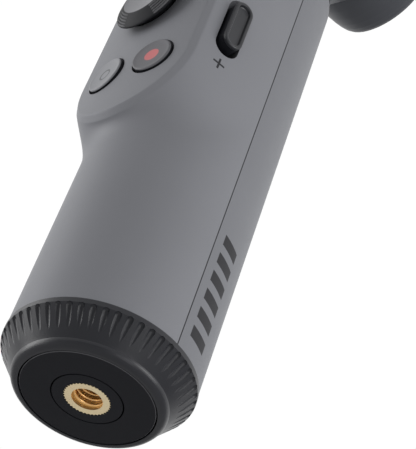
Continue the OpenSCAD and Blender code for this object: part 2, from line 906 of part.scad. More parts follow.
module power_switch() {
    color(steel_col)
    translate([-power_switch_x - switch_t, -board_y - board_t - switch_w, power_z - switch_w / 2])
        cube([switch_t, switch_w, switch_w]);
}

// One motor, from the inner face of its housing's floor up along its axis

module motor_hub() {
    difference() {
        translate([0, 0, -cut / 2]) cylinder(r = hub_r, h = hub_h + cut / 2, $fn = 64);
        translate([0, 0, -cut]) cylinder(r = bearing_r + seat, h = hub_h + 2 * cut, $fn = 64);
    }
}

module motor_bearings() {
    color(steel_col)
    for (z = [0, hub_h - bearing_t])
        translate([0, 0, z])
            difference() {
                cylinder(r = bearing_r, h = bearing_t, $fn = 64);
                translate([0, 0, -cut]) cylinder(r = shaft_r + run_fit, h = bearing_t + 2 * cut, $fn = 48);
            }
}

module motor_stator() {
    color([0.45, 0.45, 0.47])
    translate([0, 0, stator_low])
        linear_extrude(height = stator_h)
            difference() {
                union() {
                    circle(r = stator_in, $fn = 64);
                    for (i = [0 : tooth_n - 1])
                        rotate(360 * i / tooth_n) {
                            translate([stator_in / 2, -tooth_w / 2])
                                square([stator_r - stator_in / 2 - shoe_t / 2, tooth_w]);
                            intersection() {
                                difference() {
                                    circle(r = stator_r, $fn = 64);
                                    circle(r = stator_r - shoe_t, $fn = 64);
                                }
                                translate([0, -shoe_w / 2]) square([stator_r + cut, shoe_w]);
                            }
                        }
                }
                circle(r = hub_r + seat, $fn = 64);
            }
}

module motor_coils() {
    color(copper_col)
    for (i = [0 : tooth_n - 1])
        rotate([0, 0, 360 * i / tooth_n])
            translate([coil_in, 0, stator_low - coil_over])
                difference() {
                    translate([0, -coil_w / 2, 0])
                        cube([coil_out - coil_in, coil_w, stator_h + 2 * coil_over]);
                    translate([-cut, -tooth_w / 2 - seat, coil_over - seat])
                        cube([coil_out - coil_in + 2 * cut, tooth_w + 2 * seat, stator_h + 2 * seat]);
                }
}

module motor_rotor() {
    color(steel_col) {
        difference() {
            translate([0, 0, bell_low]) cylinder(r = bell_r, h = bell_h - bell_low, $fn = 96);
            translate([0, 0, bell_low - cut])
                cylinder(r = bell_r - bell_wall, h = bell_h - bell_low - bell_top + cut, $fn = 96);
        }
        translate([0, 0, cut / 2])
            cylinder(r = shaft_r, h = bell_h + shaft_over - cut / 2, $fn = 48);
    }
}

module motor_magnets() {
    out_r = bell_r - bell_wall - seat;
    color([0.35, 0.35, 0.38])
    translate([0, 0, stator_low])
        linear_extrude(height = stator_h)
            difference() {
                circle(r = out_r, $fn = 96);
                circle(r = out_r - magnet_t, $fn = 96);
                for (i = [0 : magnet_n - 1])
                    rotate(360 * i / magnet_n)
                        translate([0, -magnet_slit / 2]) square([bell_r + cut, magnet_slit]);
            }
}

// Pan motor

module pan_motor_base() {
    color(dark_col) {
        difference() {
            union() {
                translate([0, 0, pan_floor - motor_floor_t])
                    cylinder(r = inner_r - seat, h = handle_h - pan_floor + motor_floor_t, $fn = 96);
                translate([0, 0, handle_h]) cylinder(r = pan_lip_r, h = pan_lip, $fn = 96);
            }
            translate([0, 0, pan_floor]) cylinder(r = bell_room, h = axis_z, $fn = 96);
            translate([0, 0, pan_floor - motor_floor_t - cut])
                cylinder(r = bearing_r - hub_lip, h = motor_floor_t + 2 * cut, $fn = 64);
        }
        translate([0, 0, pan_floor]) motor_hub();
    }
}

module pan_bearings() { translate([0, 0, pan_floor]) motor_bearings(); }
module pan_stator() { translate([0, 0, pan_floor]) motor_stator(); }
module pan_coils() { translate([0, 0, pan_floor]) motor_coils(); }
module pan_rotor() { translate([0, 0, pan_floor]) motor_rotor(); }
module pan_magnets() { translate([0, 0, pan_floor]) motor_magnets(); }

// Outline of the roll motor's housing: it narrows towards its rear end along a quarter ellipse
function can_r(h) = roll_r - roll_taper + roll_taper * sqrt(1 - pow(1 - min(h, roll_taper_l) / roll_taper_l, 2));
can_line = concat(
    [[0, 0]],
    [for (i = [0 : taper_steps]) let (h = roll_l * pow(i / taper_steps, 2)) [can_r(h), h]],
    [[0, roll_l]]);

module pan_neck() {
    hull() {
        translate([0, neck_low_y, pan_top - disc_edge])
            cylinder(r = neck_low_r, h = disc_edge, $fn = 32);
        translate([0, neck_top_y, axis_z - roll_r + neck_sink])
            cylinder(r = neck_top_r, h = disc_edge, $fn = 32);
    }
}

module pan_arm() {
    color(dark_col)
    difference() {
        union() {
            translate([0, 0, pan_z0]) cylinder(r = pan_cap_r, h = pan_cap_h - disc_edge, $fn = 96);
            translate([0, 0, pan_top - disc_edge])
                cylinder(r1 = pan_cap_r, r2 = pan_cap_r - disc_edge, h = disc_edge, $fn = 96);
            pan_neck();
            at_roll() rotate_extrude($fn = 96) polygon(can_line);
        }
        translate([0, 0, pan_z0 - cut]) cylinder(r = bell_room, h = pan_cap_h - pan_roof + cut, $fn = 96);
        translate([0, 0, pan_floor + bell_h - cut])
            cylinder(r = shaft_r + seat, h = shaft_over + cut, $fn = 48);
        at_roll() {
            difference() {
                translate([0, 0, roll_floor]) cylinder(r = bell_room, h = roll_l, $fn = 96);
                translate([0, 0, roll_floor]) motor_hub();
            }
            translate([0, 0, -cut]) cylinder(r = roll_cap_r + seat, h = roll_cap_t + cut, $fn = 64);
            translate([0, 0, roll_floor - cut]) cylinder(r = bearing_r - hub_lip, h = 2 * cut, $fn = 64);
        }
    }
}

module roll_end_cap() {
    color(dark_col)
    at_roll() cylinder(r = roll_cap_r, h = roll_cap_t, $fn = 64);
}

module roll_bearings() { at_roll() translate([0, 0, roll_floor]) motor_bearings(); }
module roll_stator() { at_roll() translate([0, 0, roll_floor]) motor_stator(); }
module roll_coils() { at_roll() translate([0, 0, roll_floor]) motor_coils(); }
module roll_rotor() { at_roll() translate([0, 0, roll_floor]) motor_rotor(); }
module roll_magnets() { at_roll() translate([0, 0, roll_floor]) motor_magnets(); }

// Cross-section of the roll arm
module arm_section() { round_2d(arm_t, arm_w, arm_edge); }

module roll_arm() {
    bend_x = arm_out_x - arm_bend;
    color(dark_col)
    difference() {
        union() {
            at_roll() {
                translate([0, 0, roll_l + turn_gap])
                    cylinder(r = roll_disc_r, h = roll_disc_t - disc_edge, $fn = 96);
                translate([0, 0, roll_l + turn_gap + roll_disc_t - disc_edge])
                    cylinder(r1 = roll_disc_r, r2 = roll_disc_r - disc_edge, h = disc_edge, $fn = 96);
                translate([0, 0, roll_floor + bell_h])
                    cylinder(r = bell_r - drive_in, h = roll_l - roll_floor - bell_h + turn_gap + cut, $fn = 96);
                translate([0, 0, roll_l + turn_gap + roll_disc_t - disc_edge])
                    cylinder(r = arm_w / 2, h = disc_edge + arm_t, $fn = 64);
            }
            translate([0, arm_y, axis_z])
                rotate([0, -90, 0])
                    linear_extrude(height = bend_x)
                        rotate(90) arm_section();
            translate([-bend_x, arm_y - arm_bend, axis_z])
                rotate([0, 0, 90])
                    rotate_extrude(angle = 90, $fn = 96)
                        translate([arm_bend, 0]) arm_section();
            translate([-arm_out_x, arm_y - arm_bend, axis_z])
                rotate([90, 0, 0])
                    linear_extrude(height = arm_y - arm_bend + tilt_fwd - tilt_r / 2)
                        arm_section();
            at_tilt() {
                translate([0, 0, tilt_edge]) cylinder(r = tilt_r, h = tilt_l - tilt_edge, $fn = 96);
                rotate_extrude($fn = 96) {
                    square([tilt_r - tilt_edge, tilt_edge]);
                    intersection() {
                        translate([tilt_r - tilt_edge, tilt_edge]) circle(r = tilt_edge, $fn = 48);
                        translate([tilt_r - tilt_edge, 0]) square([tilt_edge, tilt_edge]);
                    }
                }
            }
        }
        at_tilt() {
            difference() {
                translate([0, 0, tilt_floor]) cylinder(r = bell_room, h = tilt_l, $fn = 96);
                translate([0, 0, tilt_floor]) motor_hub();
            }
            translate([0, 0, -cut]) cylinder(r = tilt_cap_r + seat, h = tilt_cap_t + cut, $fn = 64);
            translate([0, 0, tilt_floor - cut]) cylinder(r = bearing_r - hub_lip, h = 2 * cut, $fn = 64);
        }
        at_roll()
            translate([0, 0, roll_floor + bell_h - cut])
                cylinder(r = shaft_r + seat, h = shaft_over + cut, $fn = 48);
    }
}

module tilt_end_cap() {
    color(dark_col)
    at_tilt() cylinder(r = tilt_cap_r, h = tilt_cap_t, $fn = 64);
}

module tilt_bearings() { at_tilt() translate([0, 0, tilt_floor]) motor_bearings(); }
module tilt_stator() { at_tilt() translate([0, 0, tilt_floor]) motor_stator(); }
module tilt_coils() { at_tilt() translate([0, 0, tilt_floor]) motor_coils(); }
module tilt_rotor() { at_tilt() translate([0, 0, tilt_floor]) motor_rotor(); }
module tilt_magnets() { at_tilt() translate([0, 0, tilt_floor]) motor_magnets(); }

module clamp_bracket() {
    plate_y = bracket_front - bracket_t;
    color(dark_col)
    difference() {
        union() {
            at_tilt() {
                translate([0, 0, tilt_l + turn_gap])
                    cylinder(r = tilt_disc_r, h = tilt_disc_t, $fn = 96);
                translate([0, 0, tilt_floor + bell_h])
                    cylinder(r = bell_r - drive_in, h = tilt_l + turn_gap - tilt_floor - bell_h + cut, $fn = 96);
            }
            translate([-bracket_x - cut, -bracket_front, axis_z - bracket_w / 2])
                cube([bracket_t + cut, bracket_front - tilt_fwd + bracket_w / 2, bracket_w]);
            translate([-bracket_x, -bracket_front, axis_z - bracket_w / 2])
                cube([bracket_x, bracket_t, bracket_w]);
            translate([0, -plate_y, axis_z])
                rotate([90, 0, 0])
                    cylinder(r = bracket_w / 2, h = bracket_t, $fn = 96);
        }
        translate([0, -plate_y + cut, axis_z])
            rotate([90, 0, 0])
                cylinder(r = pin_r + run_fit, h = bracket_t + 2 * cut, $fn = 64);
        at_tilt()
            translate([0, 0, tilt_floor + bell_h - cut])
                cylinder(r = shaft_r + seat, h = shaft_over + cut, $fn = 48);
    }
}

module swivel_pin() {
    color(steel_col)
    translate([0, -clamp_back, axis_z])
        rotate([-90, 0, 0])
            cylinder(r = pin_r, h = bracket_t + 2 * swivel_gap, $fn = 64);
}

module swivel_washer() {
    color(steel_col)
    translate([0, -clamp_back + bracket_t + 2 * swivel_gap, axis_z])
        rotate([-90, 0, 0])
            cylinder(r = washer_r, h = washer_t, $fn = 64);
}

// Jaw seen from the front, as a slab with round corners, from z = low to z = high
module clamp_slab(wide, low, high, edge, thick) {
    rotate([90, 0, 0])
        translate([0, (low + high) / 2, 0])
            linear_extrude(height = thick)
                round_2d(wide, high - low, edge);
}

module jaw_lip() {
    translate([0, -clamp_face, 0]) {
        translate([-jaw_w / 2, -jaw_reach, -jaw_out])
            cube([jaw_w, jaw_reach + cut, jaw_t]);
        translate([-jaw_w / 2, -jaw_reach, -jaw_in - cut])
            cube([jaw_w, lip_hook, lip_hook + cut]);
    }
}

module clamp_body() {
    color(dark_col)
    translate([0, 0, axis_z])
        difference() {
            union() {
                translate([0, -clamp_back, 0])
                    clamp_slab(clamp_w, -jaw_out, body_top, clamp_edge, clamp_t);
                jaw_lip();
            }
            for (sx = [-1, 1])
                translate([sx * rod_x, -rod_y, -rod_bore_low])
                    cylinder(r = rod_r + run_fit, h = rod_bore_low + body_top + cut, $fn = 32);
            translate([0, -rod_y, -spring_low])
                cylinder(r = spring_room, h = spring_low + body_top + cut, $fn = 48);
        }
}

module pad(wide, deep) {
    translate([-wide / 2, -deep, 0]) cube([wide, deep, pad_t]);
}

module lower_pad() {
    color(disc_col)
    translate([0, -clamp_face - pad_inset / 2, axis_z - jaw_in])
        pad(jaw_w - 2 * pad_inset, jaw_reach - lip_hook - pad_inset);
}

module back_pad() {
    color(disc_col)
    translate([0, -clamp_face, axis_z])
        clamp_slab(clamp_w - 4 * pad_inset, -jaw_in + 3 * pad_t, body_top - pad_t, clamp_edge, pad_t);
}

module upper_jaw() {
    color(dark_col)
    translate([0, 0, axis_z])
        difference() {
            union() {
                translate([0, -clamp_back, 0])
                    clamp_slab(clamp_w, body_top + head_gap, jaw_out, clamp_edge, clamp_t);
                mirror([0, 0, 1]) jaw_lip();
            }
            for (sx = [-1, 1])
                translate([sx * rod_x, -rod_y, body_top])
                    cylinder(r = rod_r + seat, h = jaw_out - body_top - cut, $fn = 32);
        }
}

module upper_pad() {
    color(disc_col)
    translate([0, -clamp_face - pad_inset / 2, axis_z + jaw_in - pad_t])
        pad(jaw_w - 2 * pad_inset, jaw_reach - lip_hook - pad_inset);
}

module guide_rods() {
    color(steel_col)
    for (sx = [-1, 1])
        translate([sx * rod_x, -rod_y, axis_z - rod_low])
            cylinder(r = rod_r, h = rod_low + jaw_out - cut - seat, $fn = 32);
}

module clamp_spring() {
    color(steel_col)
    translate([0, -rod_y, axis_z - spring_low])
        difference() {
            cylinder(r = spring_r, h = spring_low + body_top + head_gap, $fn = 48);
            translate([0, 0, -cut])
                cylinder(r = spring_r - spring_wire, h = spring_low + body_top + 2 * cut, $fn = 48);
        }
}

front_shell();
rear_shell();
base_ring();
base_plate();
base_boss();
tripod_insert();
battery();
battery_cradle();
main_board();
usb_port();
key_board();
key_switches();
joystick_base();
joystick_yoke();
joystick_stem();
joystick_cap();
record_button();
mode_button();
zoom_slider();
zoom_switch();
power_button();
power_switch();
pan_motor_base();
pan_bearings();
pan_stator();
pan_coils();
pan_rotor();
pan_magnets();
pan_arm();
roll_end_cap();
roll_bearings();
roll_stator();
roll_coils();
roll_rotor();
roll_magnets();
roll_arm();
tilt_end_cap();
tilt_bearings();
tilt_stator();
tilt_coils();
tilt_rotor();
tilt_magnets();
clamp_bracket();
swivel_pin();
swivel_washer();
clamp_body();
lower_pad();
back_pad();
upper_jaw();
upper_pad();
guide_rods();
clamp_spring();
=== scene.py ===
# %% [markdown]
# # A handheld gimbal for a phone
# The solid model comes from the CAD step and is loaded as a fixed frame. This file gives it finishes, the
# small forms that the CAD leaves out, the camera and the light. The handle stands along Z, and its front
# faces -Y.

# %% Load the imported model
import json
import math
import bmesh
import bpy
from mathutils import Matrix, Vector


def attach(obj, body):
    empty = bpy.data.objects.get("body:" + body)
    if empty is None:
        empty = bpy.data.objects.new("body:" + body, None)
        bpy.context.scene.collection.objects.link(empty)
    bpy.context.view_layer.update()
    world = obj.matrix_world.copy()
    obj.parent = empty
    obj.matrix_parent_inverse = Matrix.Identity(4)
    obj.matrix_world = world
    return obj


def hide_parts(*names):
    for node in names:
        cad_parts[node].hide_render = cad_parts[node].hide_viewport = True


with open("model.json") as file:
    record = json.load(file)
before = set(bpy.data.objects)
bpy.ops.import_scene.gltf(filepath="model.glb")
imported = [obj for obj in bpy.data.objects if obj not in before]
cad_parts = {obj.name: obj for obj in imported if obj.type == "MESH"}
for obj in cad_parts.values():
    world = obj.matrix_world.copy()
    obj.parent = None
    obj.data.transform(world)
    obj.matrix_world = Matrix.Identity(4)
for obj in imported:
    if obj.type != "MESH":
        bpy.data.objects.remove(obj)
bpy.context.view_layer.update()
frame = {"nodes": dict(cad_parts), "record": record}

parts = frame["nodes"]

# %% [markdown]
# ## Places on the handle
# The buttons, the holes for them and the printed signs all sit at the same few places, so each place is
# written once. They are in millimetres, as a maker would measure them, and MM turns them into the metres
# of the scene.

# %% Places and sizes in millimetres
MM = 0.001
handle_r, inner_r = 20.0, 18.0
panel_front = 23.35
button_x, button_y, button_z, button_lean = 6.8, -23.65, 75.2, 6.7
button_r, button_slot = 4.8, 0.5
stick_y, stick_z = -15.4, 96.1
side_x, side_y, side_lean = 18.25, -14.2, 10.0
zoom_z, zoom_l, zoom_w, zoom_travel, zoom_gap = 88.3, 14.4, 5.0, 1.4, 0.6
power_z, power_r, power_gap = 92.0, 3.5, 0.3
print("handle", 2 * handle_r, "mm thick, buttons", button_z, "mm up, joystick", stick_z, "mm up")

# %% [markdown]
# ## Wires between shader nodes
# A procedural finish is arithmetic on positions and noises. Adding each Math node by hand hides that
# arithmetic, so a small class wraps a node's output and adds the node whenever it meets a plus, a minus,
# a times or a power sign.

# %% A socket with arithmetic
class Wire:
    """A node's output that can be added, multiplied and raised to a power like a number."""

    def __init__(self, tree, socket):
        self.tree, self.socket = tree, socket

    def node(self, kind, settings=None, inputs=None, output=0):
        return add_node(self.tree, kind, settings, inputs, output)

    def other(self, output):
        """Another output of the same node."""
        return Wire(self.tree, self.socket.node.outputs[output])

    def math(self, operation, *others):
        return self.node("ShaderNodeMath", {"operation": operation}, dict(enumerate((self, *others))))

    def __add__(self, other):
        return self.math("ADD", other)

    def __sub__(self, other):
        return self.math("SUBTRACT", other)

    def __mul__(self, other):
        return self.math("MULTIPLY", other)

    def __pow__(self, other):
        return self.math("POWER", other)

    def __radd__(self, other):
        return self + other

    def __rsub__(self, other):
        return self.node("ShaderNodeMath", {"operation": "SUBTRACT"}, {0: other, 1: self})

    def __rmul__(self, other):
        return self * other

    def __rpow__(self, other):
        return self.node("ShaderNodeMath", {"operation": "POWER"}, {0: other, 1: self})

    def __neg__(self):
        return self * -1.0

    def __abs__(self):
        return self.math("ABSOLUTE")


print("made the class Wire")

# %% [markdown]
# ## Any other node
# Most nodes aren't arithmetic, such as noises and bumps. One function adds any of them from its type, its
# settings and the values or wires of its sockets. The settings come first, because some of them change
# which sockets a node has.

# %% One way to add any node
def plug(tree, value, socket):
    """Links a wire to a socket, or writes a number or a colour on it."""
    if isinstance(value, Wire):
        tree.links.new(value.socket, socket)
    elif isinstance(value, (tuple, list, Vector)) and len(value) == 3 and len(socket.default_value) == 4:
        socket.default_value = (*value, 1.0)
    else:
        socket.default_value = value


def add_node(tree, kind, settings=None, inputs=None, output=0):
    """A node of this kind with its settings first, then its sockets."""
    node = tree.nodes.new(kind)
    for name, value in (settings or {}).items():
        setattr(node, name, value)
    for name, value in (inputs or {}).items():
        plug(tree, value, node.inputs[name])
    return Wire(tree, node.outputs[output]) if len(node.outputs) else None


print("made plug and add_node")

# %% [markdown]
# ## What most finishes share
# Each finish starts from an object position in metres, so its grain has a real size and rides with the
# part. A picture on the part would need unwrapped coordinates, and it would blur close up.

# %% A finish and its sockets
def new_finish(name, **constants):
    """A material whose principled shader has these constants on its own sockets."""
    material = bpy.data.materials.new(name)
    material.use_nodes = True
    shader = material.node_tree.nodes["Principled BSDF"]
    for socket, value in constants.items():
        plug(material.node_tree, value, shader.inputs[socket.replace("_", " ")])
    return material, material.node_tree, shader


def connect(finish, **wires):
    """Joins wires to the sockets of a finish's shader."""
    material, tree, shader = finish
    for name, wire in wires.items():
        plug(tree, wire, shader.inputs[name.replace("_", " ")])
    return material


def place_of(finish):
    """The object position as a vector."""
    material, tree, shader = finish
    return add_node(tree, "ShaderNodeTexCoord", output="Object")


def axes(place):
    """A vector's three numbers."""
    split = place.node("ShaderNodeSeparateXYZ", None, {"Vector": place})
    return [split.other(axis) for axis in "XYZ"]


print("made new_finish, connect, place_of and axes")

# %% [markdown]
# ## Noise, soft steps and mixtures
# Every finish below is made of these few things. A grain's size and a relief's depth are given in metres
# on the part, so that a finish has the same grain on a large shell and on a small screw. A soft step
# turns a distance into a printed edge that stays smooth close up.

# %% Noise, steps and mixtures
def noise(place, size, detail=2.0, rough=0.5, stretch=None):
    """Grey noise whose lumps are about this many metres wide."""
    if stretch:
        place = place.node("ShaderNodeMapping", {"vector_type": "POINT"}, {"Vector": place, "Scale": stretch})
    return place.node("ShaderNodeTexNoise", {"noise_dimensions": "3D"},
                      {"Vector": place, "Scale": 1.0 / size, "Detail": detail, "Roughness": rough})


def step(value, edge, soft=0.04 * MM):
    """1 where the value is under the edge and 0 past it."""
    return value.node("ShaderNodeMapRange", {"interpolation_type": "SMOOTHSTEP", "clamp": True}, {
        "Value": value, "From Min": edge - soft, "From Max": edge + soft, "To Min": 1.0, "To Max": 0.0})


def away(across, along):
    """The distance that two offsets make together."""
    return (across ** 2.0 + along ** 2.0).math("SQRT")


def mix(amount, first, second):
    """A colour between two colours."""
    return amount.node("ShaderNodeMix", {"data_type": "RGBA", "blend_type": "MIX"},
                       {"Factor": amount, 6: first, 7: second}, output=2)


def scaled(colour, factor):
    """A darker or lighter version of a colour."""
    return tuple(min(1.0, channel * factor) for channel in colour)


def relief(height, depth, strength):
    """A normal from a height field, in metres of depth."""
    return height.node("ShaderNodeBump", None, {"Height": height, "Distance": depth, "Strength": strength})


print("made noise, step, away, mix, scaled and relief")

# %% [markdown]
# ## Moulded plastic
# The handle is a moulding with a fine spark-eroded grain: dull, even and slightly darker on its raised
# specks. A picture of such a grain would show its repeats on so plain a surface. Two noises do it
# instead, one for the grain and one for the slow change of tone that a big moulding has, and a third
# varies the shine as hands do.

# %% Moulded plastic
def moulded(name, colour, rough=0.45, grain=0.22 * MM, depth=0.012 * MM, marks=None, specular=0.14):
    """A plastic with this size and depth of grain, and with marks where it has any."""
    finish = new_finish(name, Specular_IOR_Level=specular)
    place = place_of(finish)
    fine = noise(place, grain, 3.0, 0.6)
    slow = noise(place, 20 * MM, 2.0)
    scuffs = noise(place, 4 * MM, 4.0, 0.65)
    base = mix(slow, scaled(colour, 0.95), scaled(colour, 1.05))
    base = mix(fine * 0.25, base, scaled(colour, 0.78))
    roughness = rough + (fine - 0.5) * 0.10 + (scuffs - 0.5) * 0.08
    if marks:
        base, roughness = marks(axes(place), base, roughness)
    return connect(finish, Base_Color=base, Roughness=roughness, Normal=relief(fine, depth, 0.6))


print("made the function for moulded plastic")

# %% [markdown]
# ## Printed signs
# A plus and a minus beside the zoom slider, a dot on the record button and a ring on the mode button are
# printed. A raised mesh would throw shadows that print doesn't have, so they are drawn as distances in
# the shader, which keeps their edges sharp at any size. Each function takes a base colour and a roughness
# and gives both back.

# %% Signs on the front shell
ink = (0.022, 0.022, 0.025)
sign_side, sign_y = 12.0 * MM, -14.5 * MM
plus_z, minus_z = 76.3 * MM, 101.2 * MM
stroke, sign_half = 0.26 * MM, 1.5 * MM
seam_width, seam_soft = 0.15 * MM, 0.06 * MM


def bar(across, along, wide, long):
    """Inside a bar of this half width and half length."""
    return step(abs(across), wide) * step(abs(along), long)


def seam_line(y):
    """The dark line where the two halves of the handle meet."""
    return step(abs(y), seam_width, seam_soft) * 0.8


def front_signs(xyz, base, roughness):
    """A plus under the slider, a minus over it, and the seam."""
    x, y, z = xyz
    across = y - sign_y
    signs = bar(across, z - plus_z, stroke, sign_half) + bar(across, z - plus_z, sign_half, stroke)
    signs = signs + bar(across, z - minus_z, sign_half, stroke)
    marks = (signs * step(-x, -sign_side) + seam_line(y)).math("MINIMUM", 1.0)
    return mix(marks, base, ink), roughness + marks * 0.05


print("signs", round(2 * sign_half / MM, 2), "mm long,", round((minus_z - plus_z) / MM, 2), "mm apart")

# %% [markdown]
# ## Plain bars on the rear shell
# A column of six dark bars is printed up the rear shell. They follow the handle's curve, so their width
# is an angle about its axis, and their height comes from the remainder of the height over the pitch. A
# picture would need unwrapped coordinates for this.

# %% Plain bars on the rear shell
bar_count, bar_low, bar_pitch, bar_half = 6, 11.4 * MM, 4.9 * MM, 1.4 * MM
bar_turn, bar_turn_half, bar_turn_soft = 0.265, 0.150, 0.003


def rear_bars(xyz, base, roughness):
    """A row of plain bars up the handle, and the seam."""
    x, y, z = xyz
    turn = y.math("ARCTAN2", x)
    row = (z - bar_low).math("MODULO", bar_pitch)
    column = bar_count * bar_pitch / 2
    bars = step(abs(row - bar_pitch / 2), bar_half) * step(abs(z - (bar_low + column)), column)
    marks = bars * step(abs(turn - bar_turn), bar_turn_half, bar_turn_soft) + seam_line(y)
    return mix(marks, base, ink), roughness + marks * 0.05


print("bars", bar_count, "over", round(bar_count * bar_pitch / MM, 2), "mm")

# %% [markdown]
# ## Signs on the buttons, and a painted highlight on the disc's edge
# The record button has a red dot and the mode button has a ring. Each is a distance from the button's own
# middle, so it stays round and centred at any size. The thin bright line along the bottom disc's bevel is
# a painted highlight, drawn where the bevel would catch the light.

# %% Signs on the buttons and the painted highlight on the disc's bevel
dot_r, dot_soft, dot_red = 1.78 * MM, 0.12 * MM, (0.54, 0.165, 0.170)
mode_ring_r, mode_ring_half, mode_ring_soft = 1.4 * MM, 0.22 * MM, 0.06 * MM
disc_edge_r, disc_edge_half, disc_edge_top = 13.78 * MM, 0.06 * MM, 0.4 * MM


def record_sign(xyz, base, roughness):
    """A dot in the middle of the record button."""
    x, y, z = xyz
    dot = step(away(x - button_x * MM, z - button_z * MM), dot_r, dot_soft)
    return mix(dot, base, dot_red), roughness


def mode_sign(xyz, base, roughness):
    """A ring in the middle of the mode button."""
    x, y, z = xyz
    ring = step(abs(away(x + button_x * MM, z - button_z * MM) - mode_ring_r), mode_ring_half, mode_ring_soft)
    return mix(ring * 0.6, base, ink), roughness


def painted_edge_highlight(xyz, base, roughness):
    """Painted highlight: the base's disc is lighter and glossier along its bevel."""
    x, y, z = xyz
    edge = step(abs(away(x, y) - disc_edge_r), disc_edge_half) * step(z, disc_edge_top, 0.1 * MM)
    return mix(edge * 0.7, base, (0.14, 0.14, 0.15)), roughness - edge * 0.2


print("dot", round(2 * dot_r / MM, 2), "mm and ring", round(2 * mode_ring_r / MM, 2), "mm across")

# %% [markdown]
# ## Finishes of the plastic parts
# The handle, the ring, the slider, the clamp and the motors are plastics of different greys. Their
# colours were matched to the photograph under this scene's light, where it shows them. Each finish is
# kept under the name of its material slot, so that the parts can find it. Picking them by hand for every
# part would be slow.

# %% Finishes of the plastic parts
handle_grey, rear_grey = (0.208, 0.212, 0.230), (0.180, 0.184, 0.200)
soft_black = (0.035, 0.036, 0.040)
finishes = {
    "shell_grey": moulded("handle grey", handle_grey, 0.46),
    "button_grey": moulded("button grey", (0.150, 0.152, 0.160), 0.42),
    "ring_black": moulded("base ring black", (0.0185, 0.0192, 0.0235), 0.33, depth=0.008 * MM, specular=0.30),
    # The disc's finish has a painted highlight along its bevel.
    "disc_black": moulded("base disc black", (0.009, 0.0095, 0.0125), 0.60, grain=0.3 * MM, depth=0.03 * MM,
                          marks=painted_edge_highlight),
    "slider_black": moulded("slider black", (0.022, 0.023, 0.027), 0.30, specular=0.28),
    "clamp_black": moulded("clamp black", soft_black, 0.42),
    "motor_dark": moulded("motor housing paint", (0.066, 0.069, 0.078), 0.36, grain=0.15 * MM,
                          depth=0.006 * MM),
    "cap_dark": moulded("motor cap", soft_black, 0.22, depth=0.003 * MM),
    "cell_wrap": moulded("cell wrap", (0.030, 0.100, 0.280), 0.25, grain=1 * MM, depth=0.02 * MM),
}
signed = {
    "front_shell": moulded("handle grey with signs", handle_grey, 0.46, marks=front_signs),
    "rear_shell": moulded("handle grey with bars", rear_grey, 0.46, marks=rear_bars),
    "record_button": moulded("record button", (0.136, 0.136, 0.147), 0.42, marks=record_sign),
    "mode_button": moulded("mode button", (0.255, 0.259, 0.276), 0.44, marks=mode_sign),
}
print("made", len(finishes), "plain and", len(signed), "signed plastic finishes")

# %% [markdown]
# ## Rubber
# The joystick and the clamp's pads are soft and dull, with dust in their pores. The pads are ribbed so
# that the phone doesn't slip. Ribs as mesh would cost thousands of faces, so a sine wave along one axis
# bends the normal and lightens the crests. The dish of the joystick is worn pale by the thumb.

# %% Rubber
def rubbery(name, colour, ribs=None, marks=None, specular=0.16):
    """A dull rubber, with ribs along an axis at a pitch where it has any."""
    finish = new_finish(name, Specular_IOR_Level=specular)
    place = place_of(finish)
    fine = noise(place, 0.35 * MM, 4.0, 0.7)
    dust = noise(place, 6 * MM, 3.0)
    base = mix(dust, scaled(colour, 0.85), scaled(colour, 1.25))
    height = fine * 0.3
    if ribs:
        axis, pitch = ribs
        wave = (axes(place)[axis] * (2 * math.pi / pitch)).math("SINE")
        height = height + wave
        base = mix(step(-wave, -0.6, 0.3) * 0.35, base, scaled(colour, 1.6))
    roughness = 0.62 + (fine - 0.5) * 0.2
    if marks:
        base, roughness = marks(axes(place), base, roughness)
    return connect(finish, Base_Color=base, Roughness=roughness, Normal=relief(height, 0.04 * MM, 0.7))


def worn_dish(xyz, base, roughness):
    """The joystick's hollow, pale up to its rim."""
    x, y, z = xyz
    dish = step(away(x, z - stick_z * MM), 6.0 * MM, 0.15 * MM) * step(y, -25.4 * MM, 0.1 * MM)
    return mix(dish, base, (0.285, 0.285, 0.300)), roughness - dish * 0.1


finishes["stick_rubber"] = rubbery("joystick rubber", (0.011, 0.0115, 0.0135), marks=worn_dish)
# The ridges are a lighter grey than the cap's rubber: a painted highlight where they catch the light.
finishes["ridge_rubber"] = rubbery("worn ridges", (0.085, 0.086, 0.092), specular=0.4)
finishes["pad_rubber"] = rubbery("pad rubber", (0.022, 0.022, 0.024), ribs=(2, 2.4 * MM))
print("made three rubbers")

# %% [markdown]
# ## Metal
# Turned brass, steel and magnets differ in colour and in how fine their tool lines are. One function
# makes them all: a noise stretched along the tool's way for the lines, and a broader one for stains.

# %% Metal
def metal(name, colour, rough, lines=0.3 * MM, tone=0.08, stretch=(1, 1, 1)):
    """A bare metal with tool lines of this width and stains of this share of its tone."""
    finish = new_finish(name, Metallic=1.0)
    place = place_of(finish)
    grain = noise(place, lines, 3.0, 0.6, stretch)
    stain = noise(place, 3 * MM, 3.0, 0.6)
    base = mix(stain, scaled(colour, 1 - tone), scaled(colour, 1 + tone))
    roughness = rough + (grain - 0.5) * 0.2 + (stain - 0.5) * 0.1
    return connect(finish, Base_Color=base, Roughness=roughness, Normal=relief(grain, 0.004 * MM, 0.5))


finishes["brass_insert"] = metal("turned brass", (1.0, 0.78, 0.50), 0.30, 0.35 * MM, 0.12)
# The thread's brass is darker and more orange than the insert's: painted shade inside the bore.
finishes["brass_thread"] = metal("cut brass", (0.86, 0.52, 0.22), 0.30, 0.35 * MM, 0.12)
finishes["steel_bright"] = metal("turned steel", (0.62, 0.62, 0.64), 0.28, tone=0.05, stretch=(0.2, 0.2, 1))
finishes["screw_black"] = metal("blackened screw", (0.14, 0.14, 0.15), 0.34)
finishes["core_steel"] = metal("laminated steel", (0.36, 0.36, 0.38), 0.42, tone=0.10, stretch=(0.1, 0.1, 3))
finishes["magnet_nickel"] = metal("magnet nickel", (0.55, 0.54, 0.52), 0.18, 0.6 * MM, 0.05)
print("made six metals")
